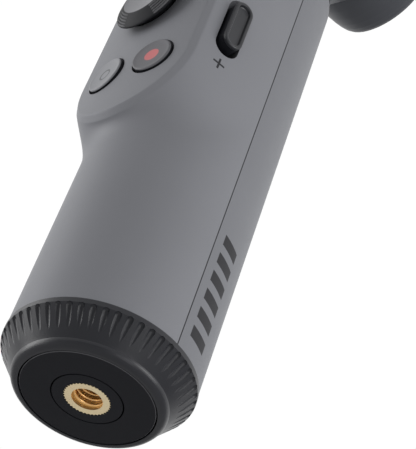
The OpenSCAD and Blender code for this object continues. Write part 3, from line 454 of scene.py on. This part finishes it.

# %% [markdown]
# ## Copper wire
# The coils show only when a housing is taken away, and they are blocks in the solid model. Winding each
# turn as a curve would be heavy for that. So a fine sine wave in the normal stands for the turns of
# enamelled wire, and the colour is darkened between the turns as painted shade in the grooves.

# %% Copper wire
def wound(name, colour, wire=0.45 * MM):
    """Lacquered wire of this thickness, turn by turn, with painted shade between the turns."""
    finish = new_finish(name, Metallic=0.85, Coat_Weight=0.4, Coat_Roughness=0.15)
    place = place_of(finish)
    x, y, z = axes(place)
    turns = ((x + y + z) * (2 * math.pi / wire)).math("SINE")
    stain = noise(place, 2 * MM, 3.0)
    # Painted shade: the colour falls to about a third in the grooves between the turns.
    base = mix(step(turns, -0.2, 0.5), colour, scaled(colour, 0.35))
    roughness = 0.3 + stain * 0.15
    return connect(finish, Base_Color=base, Roughness=roughness, Normal=relief(turns, 0.12 * MM, 0.8))


finishes["coil_copper"] = wound("enamelled wire", (0.62, 0.27, 0.12))
print("made the coils' finish")

# %% [markdown]
# ## Circuit board
# A brick pattern stands for the copper tracks under a green mask, and a coarse noise for the soldered
# pads. Real tracks would be thousands of thin faces that show only when the shells are off.

# %% Circuit board
def board(name, mask):
    """A board with tracks under a coloured mask, and pads."""
    finish = new_finish(name, Coat_Weight=0.3)
    place = place_of(finish)
    x, y, z = axes(place)
    flat = place.node("ShaderNodeCombineXYZ", None, {0: x, 1: z})
    tracks = place.node("ShaderNodeTexBrick", {"offset": 0.5}, {
        "Vector": flat, "Scale": 1.0, "Mortar Size": 0.12 * MM, "Mortar Smooth": 0.1,
        "Brick Width": 3.1 * MM, "Row Height": 1.2 * MM}, output="Fac")
    pads = noise(place, 1.6 * MM, 1.0)
    base = mix(tracks * 0.7, mask, scaled(mask, 2.2))
    base = mix(step(-pads, -0.66, 0.01), base, (0.70, 0.60, 0.35))
    roughness = 0.30 + pads * 0.15
    return connect(finish, Base_Color=base, Roughness=roughness, Normal=relief(tracks, 0.04 * MM, 0.6))


finishes["board_green"] = board("circuit board", (0.015, 0.090, 0.040))
print("made", len(finishes) + len(signed), "finishes in all")

# %% [markdown]
# ## Dressing the solid parts
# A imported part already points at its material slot, so the finish goes into the slots of its mesh and the
# mesh stays as it is. Four parts carry printed signs and get the version of their finish with the sign
# drawn in.

# %% Dress the solid parts
slot_of = {entry["node"]: entry["material_slot"] for entry in frame["record"]["subparts"]}
for name, part in parts.items():
    finish = signed.get(name) or finishes[slot_of[name]]
    for mesh_slot in part.material_slots:
        mesh_slot.material = finish
    if not part.material_slots:
        part.data.materials.append(finish)
print("dressed", len(parts), "parts")

# %% [markdown]
# ## Meshes from points
# The next pieces are computed: their points come from formulas, and one helper turns points and faces
# into a piece that rides with its body. Modelling them by hand would work too, but a formula keeps every
# edge even.

# %% Points into pieces
def build_mesh(name, points, faces, body, slot, finish):
    """A smooth mesh object made of points and faces that rides with a body."""
    mesh = bpy.data.meshes.new(name)
    mesh.from_pydata(points, [], faces)
    mesh.validate()
    mesh.materials.append(finish)
    piece = bpy.data.objects.new(name, mesh)
    bpy.context.scene.collection.objects.link(piece)
    for face in mesh.polygons:
        face.use_smooth = True
    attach(piece, body)
    return piece


def outward(piece):
    """Turns all faces of a piece outward."""
    work = bmesh.new()
    work.from_mesh(piece.data)
    bmesh.ops.recalc_face_normals(work, faces=work.faces)
    work.to_mesh(piece.data)
    work.free()
    return piece


def between(first, second, count, closed=False):
    """Four-cornered faces between two rows of points that start at these numbers."""
    last = count if closed else count - 1
    return [(first + i, first + (i + 1) % count, second + (i + 1) % count, second + i) for i in range(last)]


print("made build_mesh, outward and between")

# %% [markdown]
# ## The front shell's skin
# The front shell is one moulding: a crowned panel, a bevel round it, and a hollow flare that ends along
# the handle's cylinder. The solid shell has these as flat facets, which catch the light one by one, and
# subdividing them would soften the bevel. This skin works them out again with many more points. Spokes
# run out from the middle of the panel, so each of its edges is a ring of points. Its outline, bevel and
# flare follow the photograph a little more closely than the solid's do.

# %% Spokes of the panel
half_seam = 0.05
ring_top, rim = 8.1, 128.0
crown_r = 66.0
panel_hw, panel_low, panel_high, panel_round = 15.4, 60.5, 116.0, 16.0
bevel_w, bevel_h, flare_h = 1.25, 1.2, 7.0
ends, sides = 80, 26
last_turn = math.acos(half_seam / handle_r)


def crown(x):
    """The panel's front, which falls away to both sides along a large circle."""
    return crown_r - panel_front - math.sqrt(crown_r ** 2 - x ** 2)


def spoke(angle, z_centre):
    """A point of the face's outline and the direction out of it."""
    c, s = math.cos(angle), math.sin(angle)
    nx, nz = c / panel_hw, s / panel_round
    size = math.hypot(nx, nz)
    return panel_hw * c, z_centre + panel_round * s, nx / size, nz / size


low_centre, high_centre = panel_low + panel_round, panel_high - panel_round
climb = [low_centre + (high_centre - low_centre) * i / (sides + 1) for i in range(1, sides + 1)]
spokes = [spoke(math.pi * (1 + i / ends), low_centre) for i in range(ends + 1)]
spokes += [(panel_hw, z, 1.0, 0.0) for z in climb]
spokes += [spoke(math.pi * i / ends, high_centre) for i in range(ends + 1)]
spokes += [(-panel_hw, z, -1.0, 0.0) for z in reversed(climb)]
print("spokes", len(spokes))

# %% [markdown]
# ## The flare
# Between the bevel and the handle's cylinder the moulding runs out in a hollow curve, which is deepest
# above and below the panel. A fillet tool would make it equally deep all round. So each spoke has a curve
# of its own, from the bevel's foot to a point on the cylinder, with a middle point that pulls it in.

# %% The flare
hollow, side_hollow = 0.92, 0.36


def flare_point(x, z, nx, nz, t):
    """A point of the curve from the bevel's foot to the handle's cylinder."""
    start = Vector((x + nx * bevel_w, crown(x) + bevel_h, z + nz * bevel_w))
    turn = math.asin(start.x / handle_r)
    turn += (math.copysign(last_turn, nx) - turn) * nx * nx
    out = Vector((math.sin(turn), -math.cos(turn), 0.0))
    end = Vector((handle_r * out.x, handle_r * out.y, start.z + nz * flare_h))
    way = start - end
    middle = end + (way - way.dot(out) * out) * (hollow - side_hollow * nx * nx)
    return start * (1 - t) ** 2 + middle * 2 * t * (1 - t) + end * t * t


print("flare", flare_h, "mm high over the panel")

# %% [markdown]
# ## Rings of the panel
# Each ring takes one point of every spoke: shares of the face first, then small insets at its edge, then
# the bevel and the flare. An even grid would need many more points for the same edges. Here the rings lie
# closest where the surface bends most.

# %% Rings of the panel
face_shares = (0.06, 0.2, 0.35, 0.5, 0.65, 0.8, 0.9)
edge_insets = (0.75, 0.28, 0.10)
bevel_shares = (0.08, 0.22, 0.5, 0.85, 0.97)
flare_shares = (0.015, 0.06, 0.13, 0.2, 0.27, 0.35, 0.43, 0.51, 0.59, 0.67, 0.75, 0.83, 0.91, 1.0)
centre_z = (panel_low + panel_high) / 2
rings = []
for share in face_shares:
    rings.append([(share * x, crown(share * x), centre_z + share * (z - centre_z))
                  for x, z, nx, nz in spokes])
for inset in edge_insets:
    rings.append([(x - nx * inset, crown(x - nx * inset), z - nz * inset) for x, z, nx, nz in spokes])
for t in bevel_shares:
    rings.append([(x + nx * bevel_w * t, crown(x) + bevel_h * t, z + nz * bevel_w * t)
                  for x, z, nx, nz in spokes])
for t in flare_shares:
    rings.append([tuple(flare_point(*line, t)) for line in spokes])

skin_points = [(0.0, -panel_front, centre_z)]
skin_faces = []
total = len(spokes)
for ring in rings:
    start = len(skin_points)
    skin_points += ring
    if start == 1:
        skin_faces += [(0, 1 + i, 1 + (i + 1) % total) for i in range(total)]
    else:
        skin_faces += between(start - total, start, total, closed=True)
print("panel and flare:", len(rings), "rings of", total, "points")

# %% [markdown]
# ## The cylinder over and under the panel
# Above and below the flare the shell is a plain half pipe. A separate cylinder would leave a visible
# joint. So rows of points lead on from the flare's last ring, down to the base ring and up to the top
# rim.

# %% The cylinder over and under the panel
end_ring = len(skin_points) - total
row_count = 14


def rows_to(level, first):
    """Rows of points on the cylinder from the flare's end to a level."""
    rows = [[end_ring + first + i for i in range(ends + 1)]]
    for r in range(1, row_count + 1):
        start = len(skin_points)
        for i in range(ends + 1):
            x, y, z = skin_points[end_ring + first + i]
            skin_points.append((x, y, z + (level - z) * r / row_count))
        rows.append(list(range(start, start + ends + 1)))
        skin_faces.extend((rows[-2][i], rows[-2][i + 1], rows[-1][i + 1], rows[-1][i]) for i in range(ends))
    return rows


low_rows = rows_to(ring_top, 0)
high_rows = rows_to(rim, ends + 1 + sides)
right_side = [row[ends] for row in reversed(low_rows)]
right_side += list(range(end_ring + ends + 1, end_ring + ends + 1 + sides))
right_side += [row[0] for row in high_rows]
left_side = [row[0] for row in reversed(low_rows)]
left_side += list(reversed(range(total + end_ring - sides, total + end_ring)))
left_side += [row[ends] for row in high_rows]
print("outer skin:", len(skin_points), "points")

# %% [markdown]
# ## The shell's inside and its rims
# A real shell has a wall thickness, which shows in its holes. A solidify modifier would follow the panel
# on the inside too. The inner wall is a smaller half pipe instead, with the same rows, and four strips
# close the gap between the inner and the outer edges.

# %% The shell's inside and its rims
def inner_point(turn, z):
    """A point of the inner wall at this turn, with the last ones on the seam's plane."""
    x = inner_r * math.sin(turn)
    if abs(turn) > last_turn - 1e-6:
        x = math.copysign(math.sqrt(inner_r ** 2 - half_seam ** 2), turn)
    return x, -math.sqrt(inner_r ** 2 - x ** 2), z


columns = [math.asin(skin_points[i][0] / handle_r) for i in low_rows[-1]]
inner_rows = []
for i in right_side:
    inner_rows.append(list(range(len(skin_points), len(skin_points) + ends + 1)))
    skin_points += [inner_point(turn, skin_points[i][2]) for turn in columns]
for a, b in zip(inner_rows, inner_rows[1:]):
    skin_faces += [(a[i], b[i], b[i + 1], a[i + 1]) for i in range(ends)]
rims = ((low_rows[-1], inner_rows[0]), (list(reversed(high_rows[-1])), inner_rows[-1]),
        (right_side, [row[-1] for row in inner_rows]), (left_side, [row[0] for row in inner_rows]))
for a, b in rims:
    skin_faces += [(a[i], a[i + 1], b[i + 1], b[i]) for i in range(len(a) - 1)]
print("closed skin:", len(skin_points), "points,", len(skin_faces), "faces")

# %% [markdown]
# ## Holes in the skin
# The skin is cut for the two buttons, the joystick, the slider and the power button, at the places and
# with the clearances of the solid model, and hollowed for the boards. The hollow's front corners are cut
# off, because the flare leaves the skin thin there. A Boolean with the exact solver keeps the rings
# outside the cuts as they are.

# %% Cutters
def prism(outline, low, high, place):
    """A closed body: the outline from one height to another, put in its place."""
    mesh = bpy.data.meshes.new("cutter")
    count = len(outline)
    points = [place @ Vector((x, y, z)) * MM for z in (low, high) for x, y in outline]
    mesh.from_pydata(points, [], between(0, count, count, closed=True)
                     + [tuple(reversed(range(count))), tuple(range(count, 2 * count))])
    body = bpy.data.objects.new("cutter", mesh)
    bpy.context.scene.collection.objects.link(body)
    return body


def disc(radius, count=96):
    """A round outline."""
    return [(radius * math.cos(2 * math.pi * i / count), radius * math.sin(2 * math.pi * i / count))
            for i in range(count)]


def stadium(length, width, count=32):
    """A long outline with round ends."""
    half, radius = (length - width) / 2, width / 2
    right_end = [(half + radius * math.sin(math.pi * i / count), radius * -math.cos(math.pi * i / count))
                 for i in range(count + 1)]
    return right_end + [(-x, -y) for x, y in right_end]


def put(x, y, z, lean=0.0, tip="X", angle=90.0):
    """A place: moved, turned about Z, then tipped."""
    return (Matrix.Translation((x, y, z)) @ Matrix.Rotation(math.radians(lean), 4, "Z")
            @ Matrix.Rotation(math.radians(angle), 4, tip))


print("made prism, disc, stadium and put")

# %% [markdown]
# ## Cutting and creasing
# A cut is one Boolean modifier for each cutter, made permanent at once. The modifiers could stay on the
# piece, but then the cutters would have to stay in the scene too. Creasing marks an edge as sharp where
# the surface turns quickly, and leaves the rest smooth.

# %% Cutting and creasing
def carve(piece, cutters):
    """Cuts the cutters out of a piece and takes them away."""
    for cutter in cutters:
        change = piece.modifiers.new("carve", "BOOLEAN")
        change.object, change.operation, change.solver = cutter, "DIFFERENCE", "EXACT"
    carved = bpy.data.meshes.new_from_object(piece.evaluated_get(bpy.context.evaluated_depsgraph_get()))
    piece.modifiers.clear()
    piece.data = carved
    for cutter in cutters:
        bpy.data.objects.remove(cutter)


def crease(piece, degrees):
    """Smooth faces with sharp edges where the surface turns by more than this."""
    for face in piece.data.polygons:
        face.use_smooth = True
    piece.data.set_sharp_from_angle(angle=math.radians(degrees))


print("made carve and crease")

# %% [markdown]
# ## The front skin, cut and creased
# Here the skin becomes a piece, loses its holes and takes the place of the solid shell. Its edges are
# kept sharp by an angle instead of by hand, because the cuts make edges that nobody could list
# beforehand.

# %% The front skin, cut and creased
pocket_hw, pocket_front, pocket_low, pocket_high = 13.5, 19.6, 65.2, 111.0
corner_w, corner_d = 2.0, 2.6
stick_hole_r, button_depth, slot_depth, slot_top = 6.4, 6.05, 9.0, 2.2

button_place = {side: put(side * button_x, button_y, button_z, side * button_lean) for side in (-1, 1)}
stick_place = put(0, stick_y, stick_z)
zoom_place = put(side_x, side_y, zoom_z, -side_lean, "Y", 90.0)
power_place = put(-side_x, side_y, power_z, side_lean, "Y", -90.0)

skin_in_metres = [tuple(c * MM for c in point) for point in skin_points]
front_skin = build_mesh("front_skin", skin_in_metres, skin_faces, "handle", "shell_grey",
                        signed["front_shell"])
outward(front_skin)
corner_y, corner_x = corner_d - pocket_front, pocket_hw - corner_w
pocket = [(-pocket_hw, corner_y), (-corner_x, -pocket_front), (corner_x, -pocket_front),
          (pocket_hw, corner_y), (pocket_hw, 0), (-pocket_hw, 0)]
zoom_slot = stadium(zoom_l + 2 * zoom_travel + zoom_gap, zoom_w + 2 * zoom_gap)
cutters = [prism(pocket, pocket_low, pocket_high, Matrix())]
button_hole = disc(button_r + button_slot)
cutters += [prism(button_hole, -button_depth, handle_r, place) for place in button_place.values()]
cutters.append(prism(disc(stick_hole_r), 0, panel_front, stick_place))
cutters.append(prism(zoom_slot, -slot_depth, slot_top, zoom_place))
cutters.append(prism(disc(power_r + power_gap), -slot_depth, slot_top, power_place))
carve(front_skin, cutters)
crease(front_skin, 24)
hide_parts("front_shell")
print("front skin:", len(front_skin.data.vertices), "points")

# %% [markdown]
# ## Turned pieces
# Buttons, the joystick's cap and the screws are round, so each is a line of radii and heights spun about
# its own axis, as on a lathe. Bevelled cylinders would do for a far view. A drawn line also gives the
# dished faces and puts close points round every edge, and the light finds those as thin bright rims.

# %% Spun meshes
def spun(lines, place, count=96):
    """Points and faces of a line of (radius, height) spun about the place's Z; zero radii close the ends."""
    points, faces, rows = [], [], []
    for radius, height in lines:
        ring = [(0.0, 0.0)] if radius == 0 else disc(radius, count)
        rows.append((len(points), len(ring)))
        points += [place @ Vector((x, y, height)) * MM for x, y in ring]
    for (a, na), (b, nb) in zip(rows, rows[1:]):
        if na == 1:
            faces += [(a, b + (i + 1) % count, b + i) for i in range(count)]
        elif nb == 1:
            faces += [(a + i, a + (i + 1) % count, b) for i in range(count)]
        else:
            faces += between(a, b, count, closed=True)
    return [tuple(point) for point in points], faces


def join(*shapes):
    """Several lots of points and faces as one."""
    points, faces = [], []
    for more_points, more_faces in shapes:
        shift = len(points)
        points += more_points
        faces += [tuple(i + shift for i in face) for face in more_faces]
    return points, faces


def make(name, shape, body, node_slot, finish, degrees=30):
    """A piece whose faces look outward and whose edges are creased."""
    piece = outward(build_mesh(name, *shape, body, node_slot, finish))
    crease(piece, degrees)
    return piece


print("made spun, join and make")

# %% [markdown]
# ## Record and mode buttons
# Each button is a cap with a slightly hollow face on a wall, whose flange keeps it inside the shell. The
# wall is near-black, as painted shade for the slot round the cap.
# One spun body with two materials would do as well. Two pieces keep the colours apart without picking
# faces, and both ride with the button's slide.

# %% Record and mode buttons
foot_r, foot_low, foot_high = 1.4, -8.75, -5.4
flange_r, flange_high, wall_r, wall_top = 5.9, -4.9, 4.78, -0.36
wall_line = [(0, foot_low), (foot_r, foot_low), (foot_r, foot_high), (flange_r, foot_high),
             (flange_r, flange_high), (wall_r, flange_high), (wall_r, wall_top), (0, wall_top)]
face_line = [(0, -0.4), (wall_r, -0.4), (button_r, -0.38), (button_r, -0.25), (4.76, -0.16),
             (4.68, -0.08), (4.54, -0.03), (4.38, -0.03), (4.25, -0.07), (3.4, -0.13), (2.4, -0.19),
             (1.2, -0.24), (0, -0.25)]
for side, name, body in ((1, "record_button", "record"), (-1, "mode_button", "mode")):
    # The wall takes the base disc's near-black finish as painted shade in the slot.
    make(name + "_wall", spun(wall_line, button_place[side]), body, "button_grey", finishes["disc_black"])
    face = make(name + "_face", spun(face_line, button_place[side]), body, "button_grey", signed[name])
    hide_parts(name)
print("two buttons,", 2 * button_r, "mm across")

# %% [markdown]
# ## The joystick's cap
# The thumb sits in a hollow dish with a thin rim that slopes down to the widest edge, and a collar under
# the cap reaches into the handle. A sculpted shape would be hard to keep round, so the whole cap is one
# spun line.

# %% Joystick cap
collar_line = [(0, 9.5), (1.5, 9.5), (3.4, 9.5), (3.4, 6.5), (4.6, 6.5), (4.6, 9.3), (4.8, 9.5)]
skirt_line = [(8.55, 9.5), (8.85, 9.58), (9.08, 9.74), (9.18, 9.9), (9.2, 10.02), (9.14, 10.15), (8.95, 10.3)]
slope_line = [(8.2, 10.7), (7.3, 11.17), (6.6, 11.5), (6.3, 11.62), (6.1, 11.68), (5.95, 11.69)]
dish_line = [(5.8, 11.64), (5.6, 11.53), (5.2, 11.4), (4.4, 11.17), (3.4, 10.94), (2.2, 10.74),
             (1.1, 10.63), (0, 10.6)]
stick_shape = spun(collar_line + skirt_line + slope_line + dish_line, stick_place, 128)
stick_cap = make("joystick_grip", stick_shape, "stick", "stick_rubber", finishes["stick_rubber"])
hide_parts("joystick_cap")
print("joystick cap", len(stick_cap.data.vertices), "points")

# %% [markdown]
# ## Ridges on the joystick
# Short ridges lie across the cap's slope at four corners, as grip. They could be a bump in the rubber,
# but they stand on the outline in the photograph. So each ridge is a small loaf of its own, whose height
# follows a sine across and falls off at its ends.

# %% Ridges on its slope
slope, slope_r, slope_top = 1.55 / 2.9, 6.35, 11.55
ridge_corners, ridge_radii = (45, 135, 225, 315), (6.6, 7.2, 7.8, 8.4, 8.9)


def ridge(corner, radius, width=0.4, height=0.36, turn=36, rows=9, steps=17):
    """A low loaf that lies on the cap's slope and follows its circle for some degrees round a corner."""
    points, faces = [], []
    for i in range(steps):
        u = i / (steps - 1)
        angle = math.radians(corner + (u - 0.5) * turn)
        for k in range(rows):
            v = k / (rows - 1)
            reach = radius + (v - 0.5) * width
            lift = height * min(1.0, 2.6 * math.sin(math.pi * u)) * math.sin(math.pi * v)
            level = slope_top - (reach - slope_r) * slope + lift
            spot = Vector((reach * math.cos(angle), reach * math.sin(angle), level))
            points.append(tuple(stick_place @ spot * MM))
    for i in range(steps - 1):
        faces += between(i * rows, (i + 1) * rows, rows)
    return points, faces


ridges = [ridge(corner, radius) for corner in ridge_corners for radius in ridge_radii]
# The ridges' lighter finish is a painted highlight.
build_mesh("joystick_ridges", *join(*ridges), "stick", "stick_rubber", finishes["ridge_rubber"])
print("ridges", len(ridges))

# %% [markdown]
# ## The zoom slider
# The slider's cap is a rounded tray with a sunken floor for the thumb. A bevelled box can't have such a
# rim. So rings of the same long outline climb its wall, roll over the rim and drop to the floor. The wall
# under the cap is a piece of its own, with the neck that reaches the switch inside. It is near-black, as
# painted shade for the slot round the cap.

# %% Zoom slider
def ringed(rings, length, width, place):
    """A closed piece from rings of one long outline, each with its inset and height."""
    points, faces = [], []
    for inset, height in rings:
        outline = stadium(length - 2 * inset, width - 2 * inset)
        start = len(points)
        points += [tuple(place @ Vector((x, y, height)) * MM) for x, y in outline]
        if start:
            faces += between(start - len(outline), start, len(outline), closed=True)
    size = len(outline)
    return points, faces + [tuple(range(size)), tuple(range(len(points) - size, len(points)))]


tray = [(0.04, 1.38), (0.0, 1.44), (0.0, 1.86), (0.05, 2.02), (0.16, 2.13), (0.3, 2.18), (0.62, 2.18),
        (0.78, 2.12), (0.88, 1.98), (0.94, 1.75), (1.02, 1.55), (1.14, 1.46), (1.35, 1.43)]
slider_wall = ringed([(0.04, -3.4), (0.04, 1.4)], zoom_l, zoom_w, zoom_place)
neck_half, neck_left, neck_right, neck_low, neck_high = 2.5, -1.7, 0.3, -6.5, -3.2
neck_base = ((-neck_half, neck_left), (neck_half, neck_left),
             (neck_half, neck_right), (-neck_half, neck_right))
neck_points = [tuple(zoom_place @ Vector((x, y, z)) * MM)
               for z in (neck_low, neck_high) for x, y in neck_base]
neck = (neck_points, between(0, 4, 4, closed=True) + [(0, 1, 2, 3), (7, 6, 5, 4)])
# The wall and the neck take the base disc's near-black finish as painted shade in the slot.
make("zoom_slider_wall", join(slider_wall, neck), "zoom", "slider_black", finishes["disc_black"])
slider = make("zoom_slider_cap", ringed(tray, zoom_l, zoom_w, zoom_place), "zoom", "slider_black",
              finishes["slider_black"])
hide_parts("zoom_slider")
print("zoom slider", zoom_l, "by", zoom_w, "mm")

# %% [markdown]
# ## Small screws
# The CAD model leaves out fasteners, and cross-head screws show on the head. A cross drawn in the shader
# would look flat from the side, so the head is spun and two crossed bars are cut out.

# %% Cross-head screws
sunk, flat_share, wide_share, long_share, floor_share = 0.3, 0.35, 0.13, 0.62, 0.3


def screw(name, place, size, body, node_slot):
    """A low domed head of this radius and height, with a cross recess and its foot sunk into the part."""
    radius, height = size
    line = [(0, -sunk), (radius, -sunk), (radius, height * flat_share)]
    for angle in map(math.radians, range(15, 90, 15)):
        line.append((radius * math.cos(angle), height * (flat_share + (1 - flat_share) * math.sin(angle))))
    line.append((0, height))
    head = outward(build_mesh(name, *spun(line, place, 48), body, node_slot, finishes["screw_black"]))
    wide, long = radius * wide_share, radius * long_share
    for x, y in ((wide, long), (long, wide)):
        carve(head, [prism([(-x, -y), (x, -y), (x, y), (-x, y)], height * floor_share, height + 1.0, place)])
    crease(head, 30)


print("made the function for screws")

# %% [markdown]
# ## Six screws
# Three screws sit on a circle on the turning cap, two on the bracket's back and a larger one in the
# swivel. Copies of one mesh would all have its size, so each is made anew with its own radius and height.

# %% Six screws
axis_z, pan_top, pan_screw_r = 179.5, 141.0, 15.4
bracket_back, swivel_back = -35.1, -33.6
pan_angles, bracket_places = (-150, -90, -30), (-27.0, -15.0)
pan_head, bracket_head, swivel_head = (1.5, 0.7), (1.7, 0.8), (3.6, 1.3)
back_face = Matrix.Rotation(math.radians(-90), 4, "X")
for number, angle in enumerate(pan_angles, 1):
    spot = Matrix.Rotation(math.radians(angle), 4, "Z") @ Matrix.Translation((pan_screw_r, 0, pan_top))
    screw("pan_screw_%d" % number, spot, pan_head, "pan", "motor_dark")
for number, x in enumerate(bracket_places, 1):
    spot = Matrix.Translation((x, bracket_back, axis_z)) @ back_face
    screw("bracket_screw_%d" % number, spot, bracket_head, "tilt", "motor_dark")
swivel_spot = Matrix.Translation((0, swivel_back, axis_z)) @ back_face
screw("swivel_screw", swivel_spot, swivel_head, "clamp", "steel_bright")
print("six screws")

# %% [markdown]
# ## The screw thread
# The insert's bore is plain in the solid model. The real one has a standard quarter inch thread with
# twenty turns to the inch, which shows from below as bright ridges. A bump would leave the bore's edge
# smooth, so a blunt triangular profile is swept along a helix inside the bore, and fades into its wall at
# both ends.

# %% Thread in the brass insert
thread_outer, thread_inner, thread_low, thread_high = 3.22, 2.62, 0.6, 9.4
inch, turns_an_inch = 25.4, 20
pitch = inch / turns_an_inch
profile = [(thread_outer, -0.48), (thread_inner, -0.08), (thread_inner, 0.08), (thread_outer, 0.48)]


def thread(name, around=48):
    """A helix of the profile, whose points are a radius and a share of the pitch."""
    count = int((thread_high - thread_low) / pitch * around)
    fade_length, size = around * 0.4, len(profile)
    points, faces = [], []
    for i in range(count + 1):
        angle = 2 * math.pi * i / around
        fade = min(1.0, i / fade_length, (count - i) / fade_length)
        for radius, offset in profile:
            reach = thread_outer + (radius - thread_outer) * fade
            z = min(max(thread_low + pitch * (i / around + offset * fade), thread_low), thread_high)
            points.append((reach * math.cos(angle) * MM, reach * math.sin(angle) * MM, z * MM))
    for i in range(count):
        faces += between(i * size, (i + 1) * size, size, closed=True)
    # The thread takes the darker brass, as painted shade for the inside of the bore.
    return build_mesh(name, points, faces, "handle", "brass_insert", finishes["brass_thread"])


insert_thread = thread("insert_thread")
print("thread points", len(insert_thread.data.vertices))

# %% [markdown]
# ## Camera
# The camera was solved from the photograph's base circles and handle edges: it looks up at the handle
# from below and from the front right. Its axes are given as a matrix, because that is how such a solution
# comes out. A small shift of the lens moves the picture sideways without turning the view.

# %% Camera
camera_spot = Vector((0.2084, -0.1555, -0.17864))
right = Vector((0.7695, 0.5830, 0.2608))
up = Vector((0.2657, -0.6635, 0.6994))
back = right.cross(up).normalized()
right = up.cross(back).normalized()
up = back.cross(right)

lens = bpy.data.cameras.new("camera")
lens.lens, lens.sensor_width = 130.5, 36.0
lens.clip_start = 0.01
lens.shift_x = 0.0017
camera = bpy.data.objects.new("camera", lens)
camera.matrix_world = Matrix.Translation(camera_spot) @ Matrix((right, up, back)).transposed().to_4x4()
bpy.context.scene.collection.objects.link(camera)
bpy.context.scene.camera = camera
print("camera looks along", [round(v, 3) for v in -back])

# %% [markdown]
# ## Floor
# The photograph looks up from under the handle, so a floor at the handle's foot would hide it. The pale
# floor lies below the camera instead, where it still sends soft light up to the part.

# %% Floor
floor_z, floor_half = -0.24, 3.0
corners = [(-floor_half, -floor_half), (floor_half, -floor_half),
           (floor_half, floor_half), (-floor_half, floor_half)]
floor_mesh = bpy.data.meshes.new("floor")
floor_mesh.from_pydata([(x, y, floor_z) for x, y in corners], [], [(0, 1, 2, 3)])
floor = bpy.data.objects.new("floor", floor_mesh)
bpy.context.scene.collection.objects.link(floor)
pale = connect(new_finish("pale floor", Roughness=0.8, Base_Color=(0.90, 0.90, 0.90)))
floor_mesh.materials.append(pale)
print("floor", 2 * floor_half, "m wide")

# %% [markdown]
# ## Soft boxes
# Two soft boxes stand to the left and the right of the view, so the handle is light at its edges and
# dimmer in front, as in the photograph. A small third one beside the camera opens the shadows. A sun lamp
# would give hard shadows. Each box sends its light in a cone, because an open box near the floor draws a
# hard line on it.

# %% Soft boxes
handle_middle = Vector((0, 0, 0.07))
beside_camera = Vector((camera_spot.x, camera_spot.y, -0.14)) + right * 0.17


def soft_box(name, place, size, power, cone):
    """A lamp of this width and height in metres that faces the handle's middle."""
    light = bpy.data.lights.new(name, "AREA")
    light.shape = "RECTANGLE"
    light.size, light.size_y = size
    light.energy, light.spread = power, math.radians(cone)
    box = bpy.data.objects.new(name, light)
    box.location = place
    box.rotation_euler = (handle_middle - Vector(place)).to_track_quat("-Z", "Y").to_euler()
    bpy.context.scene.collection.objects.link(box)


soft_box("left box", (-0.61, -0.585, 0.18), (0.5, 0.78), 2.45, 120)
soft_box("right box", (0.74, 0.29, 0.13), (0.5, 0.44), 1.75, 120)
soft_box("front box", beside_camera, (0.16, 0.16), 0.021, 50)
print("three soft boxes")

# %% [markdown]
# ## White room
# The photograph has a white background. A white wall would need a lamp of its own, so the world is white
# for rays that the camera sees, straight or by way of a shiny or a clear surface. Its strength there is a
# hair over 1, because at exactly 1 the picture's dither leaves specks just under white. For all other
# rays the room is dimmer, so that its light doesn't fill the shadows.

# %% White room
room_white, room_light = 1.01, 0.35
world = bpy.data.worlds.new("room")
bpy.context.scene.world = world
world.use_nodes = True
room = world.node_tree
for node in list(room.nodes):
    room.nodes.remove(node)
camera_ray = add_node(room, "ShaderNodeLightPath", output="Is Camera Ray")
seen = camera_ray + camera_ray.other("Is Glossy Ray") + camera_ray.other("Is Transmission Ray")
seen = seen.math("MINIMUM", 1.0)
strength = seen * (room_white - room_light) + room_light
glow = add_node(room, "ShaderNodeBackground", None, {"Color": (1.0, 1.0, 1.0), "Strength": strength})
add_node(room, "ShaderNodeOutputWorld", None, {"Surface": glow})
bpy.context.scene.view_settings.view_transform = "Standard"
print("the room is seen at", room_white, "and lights at", room_light)
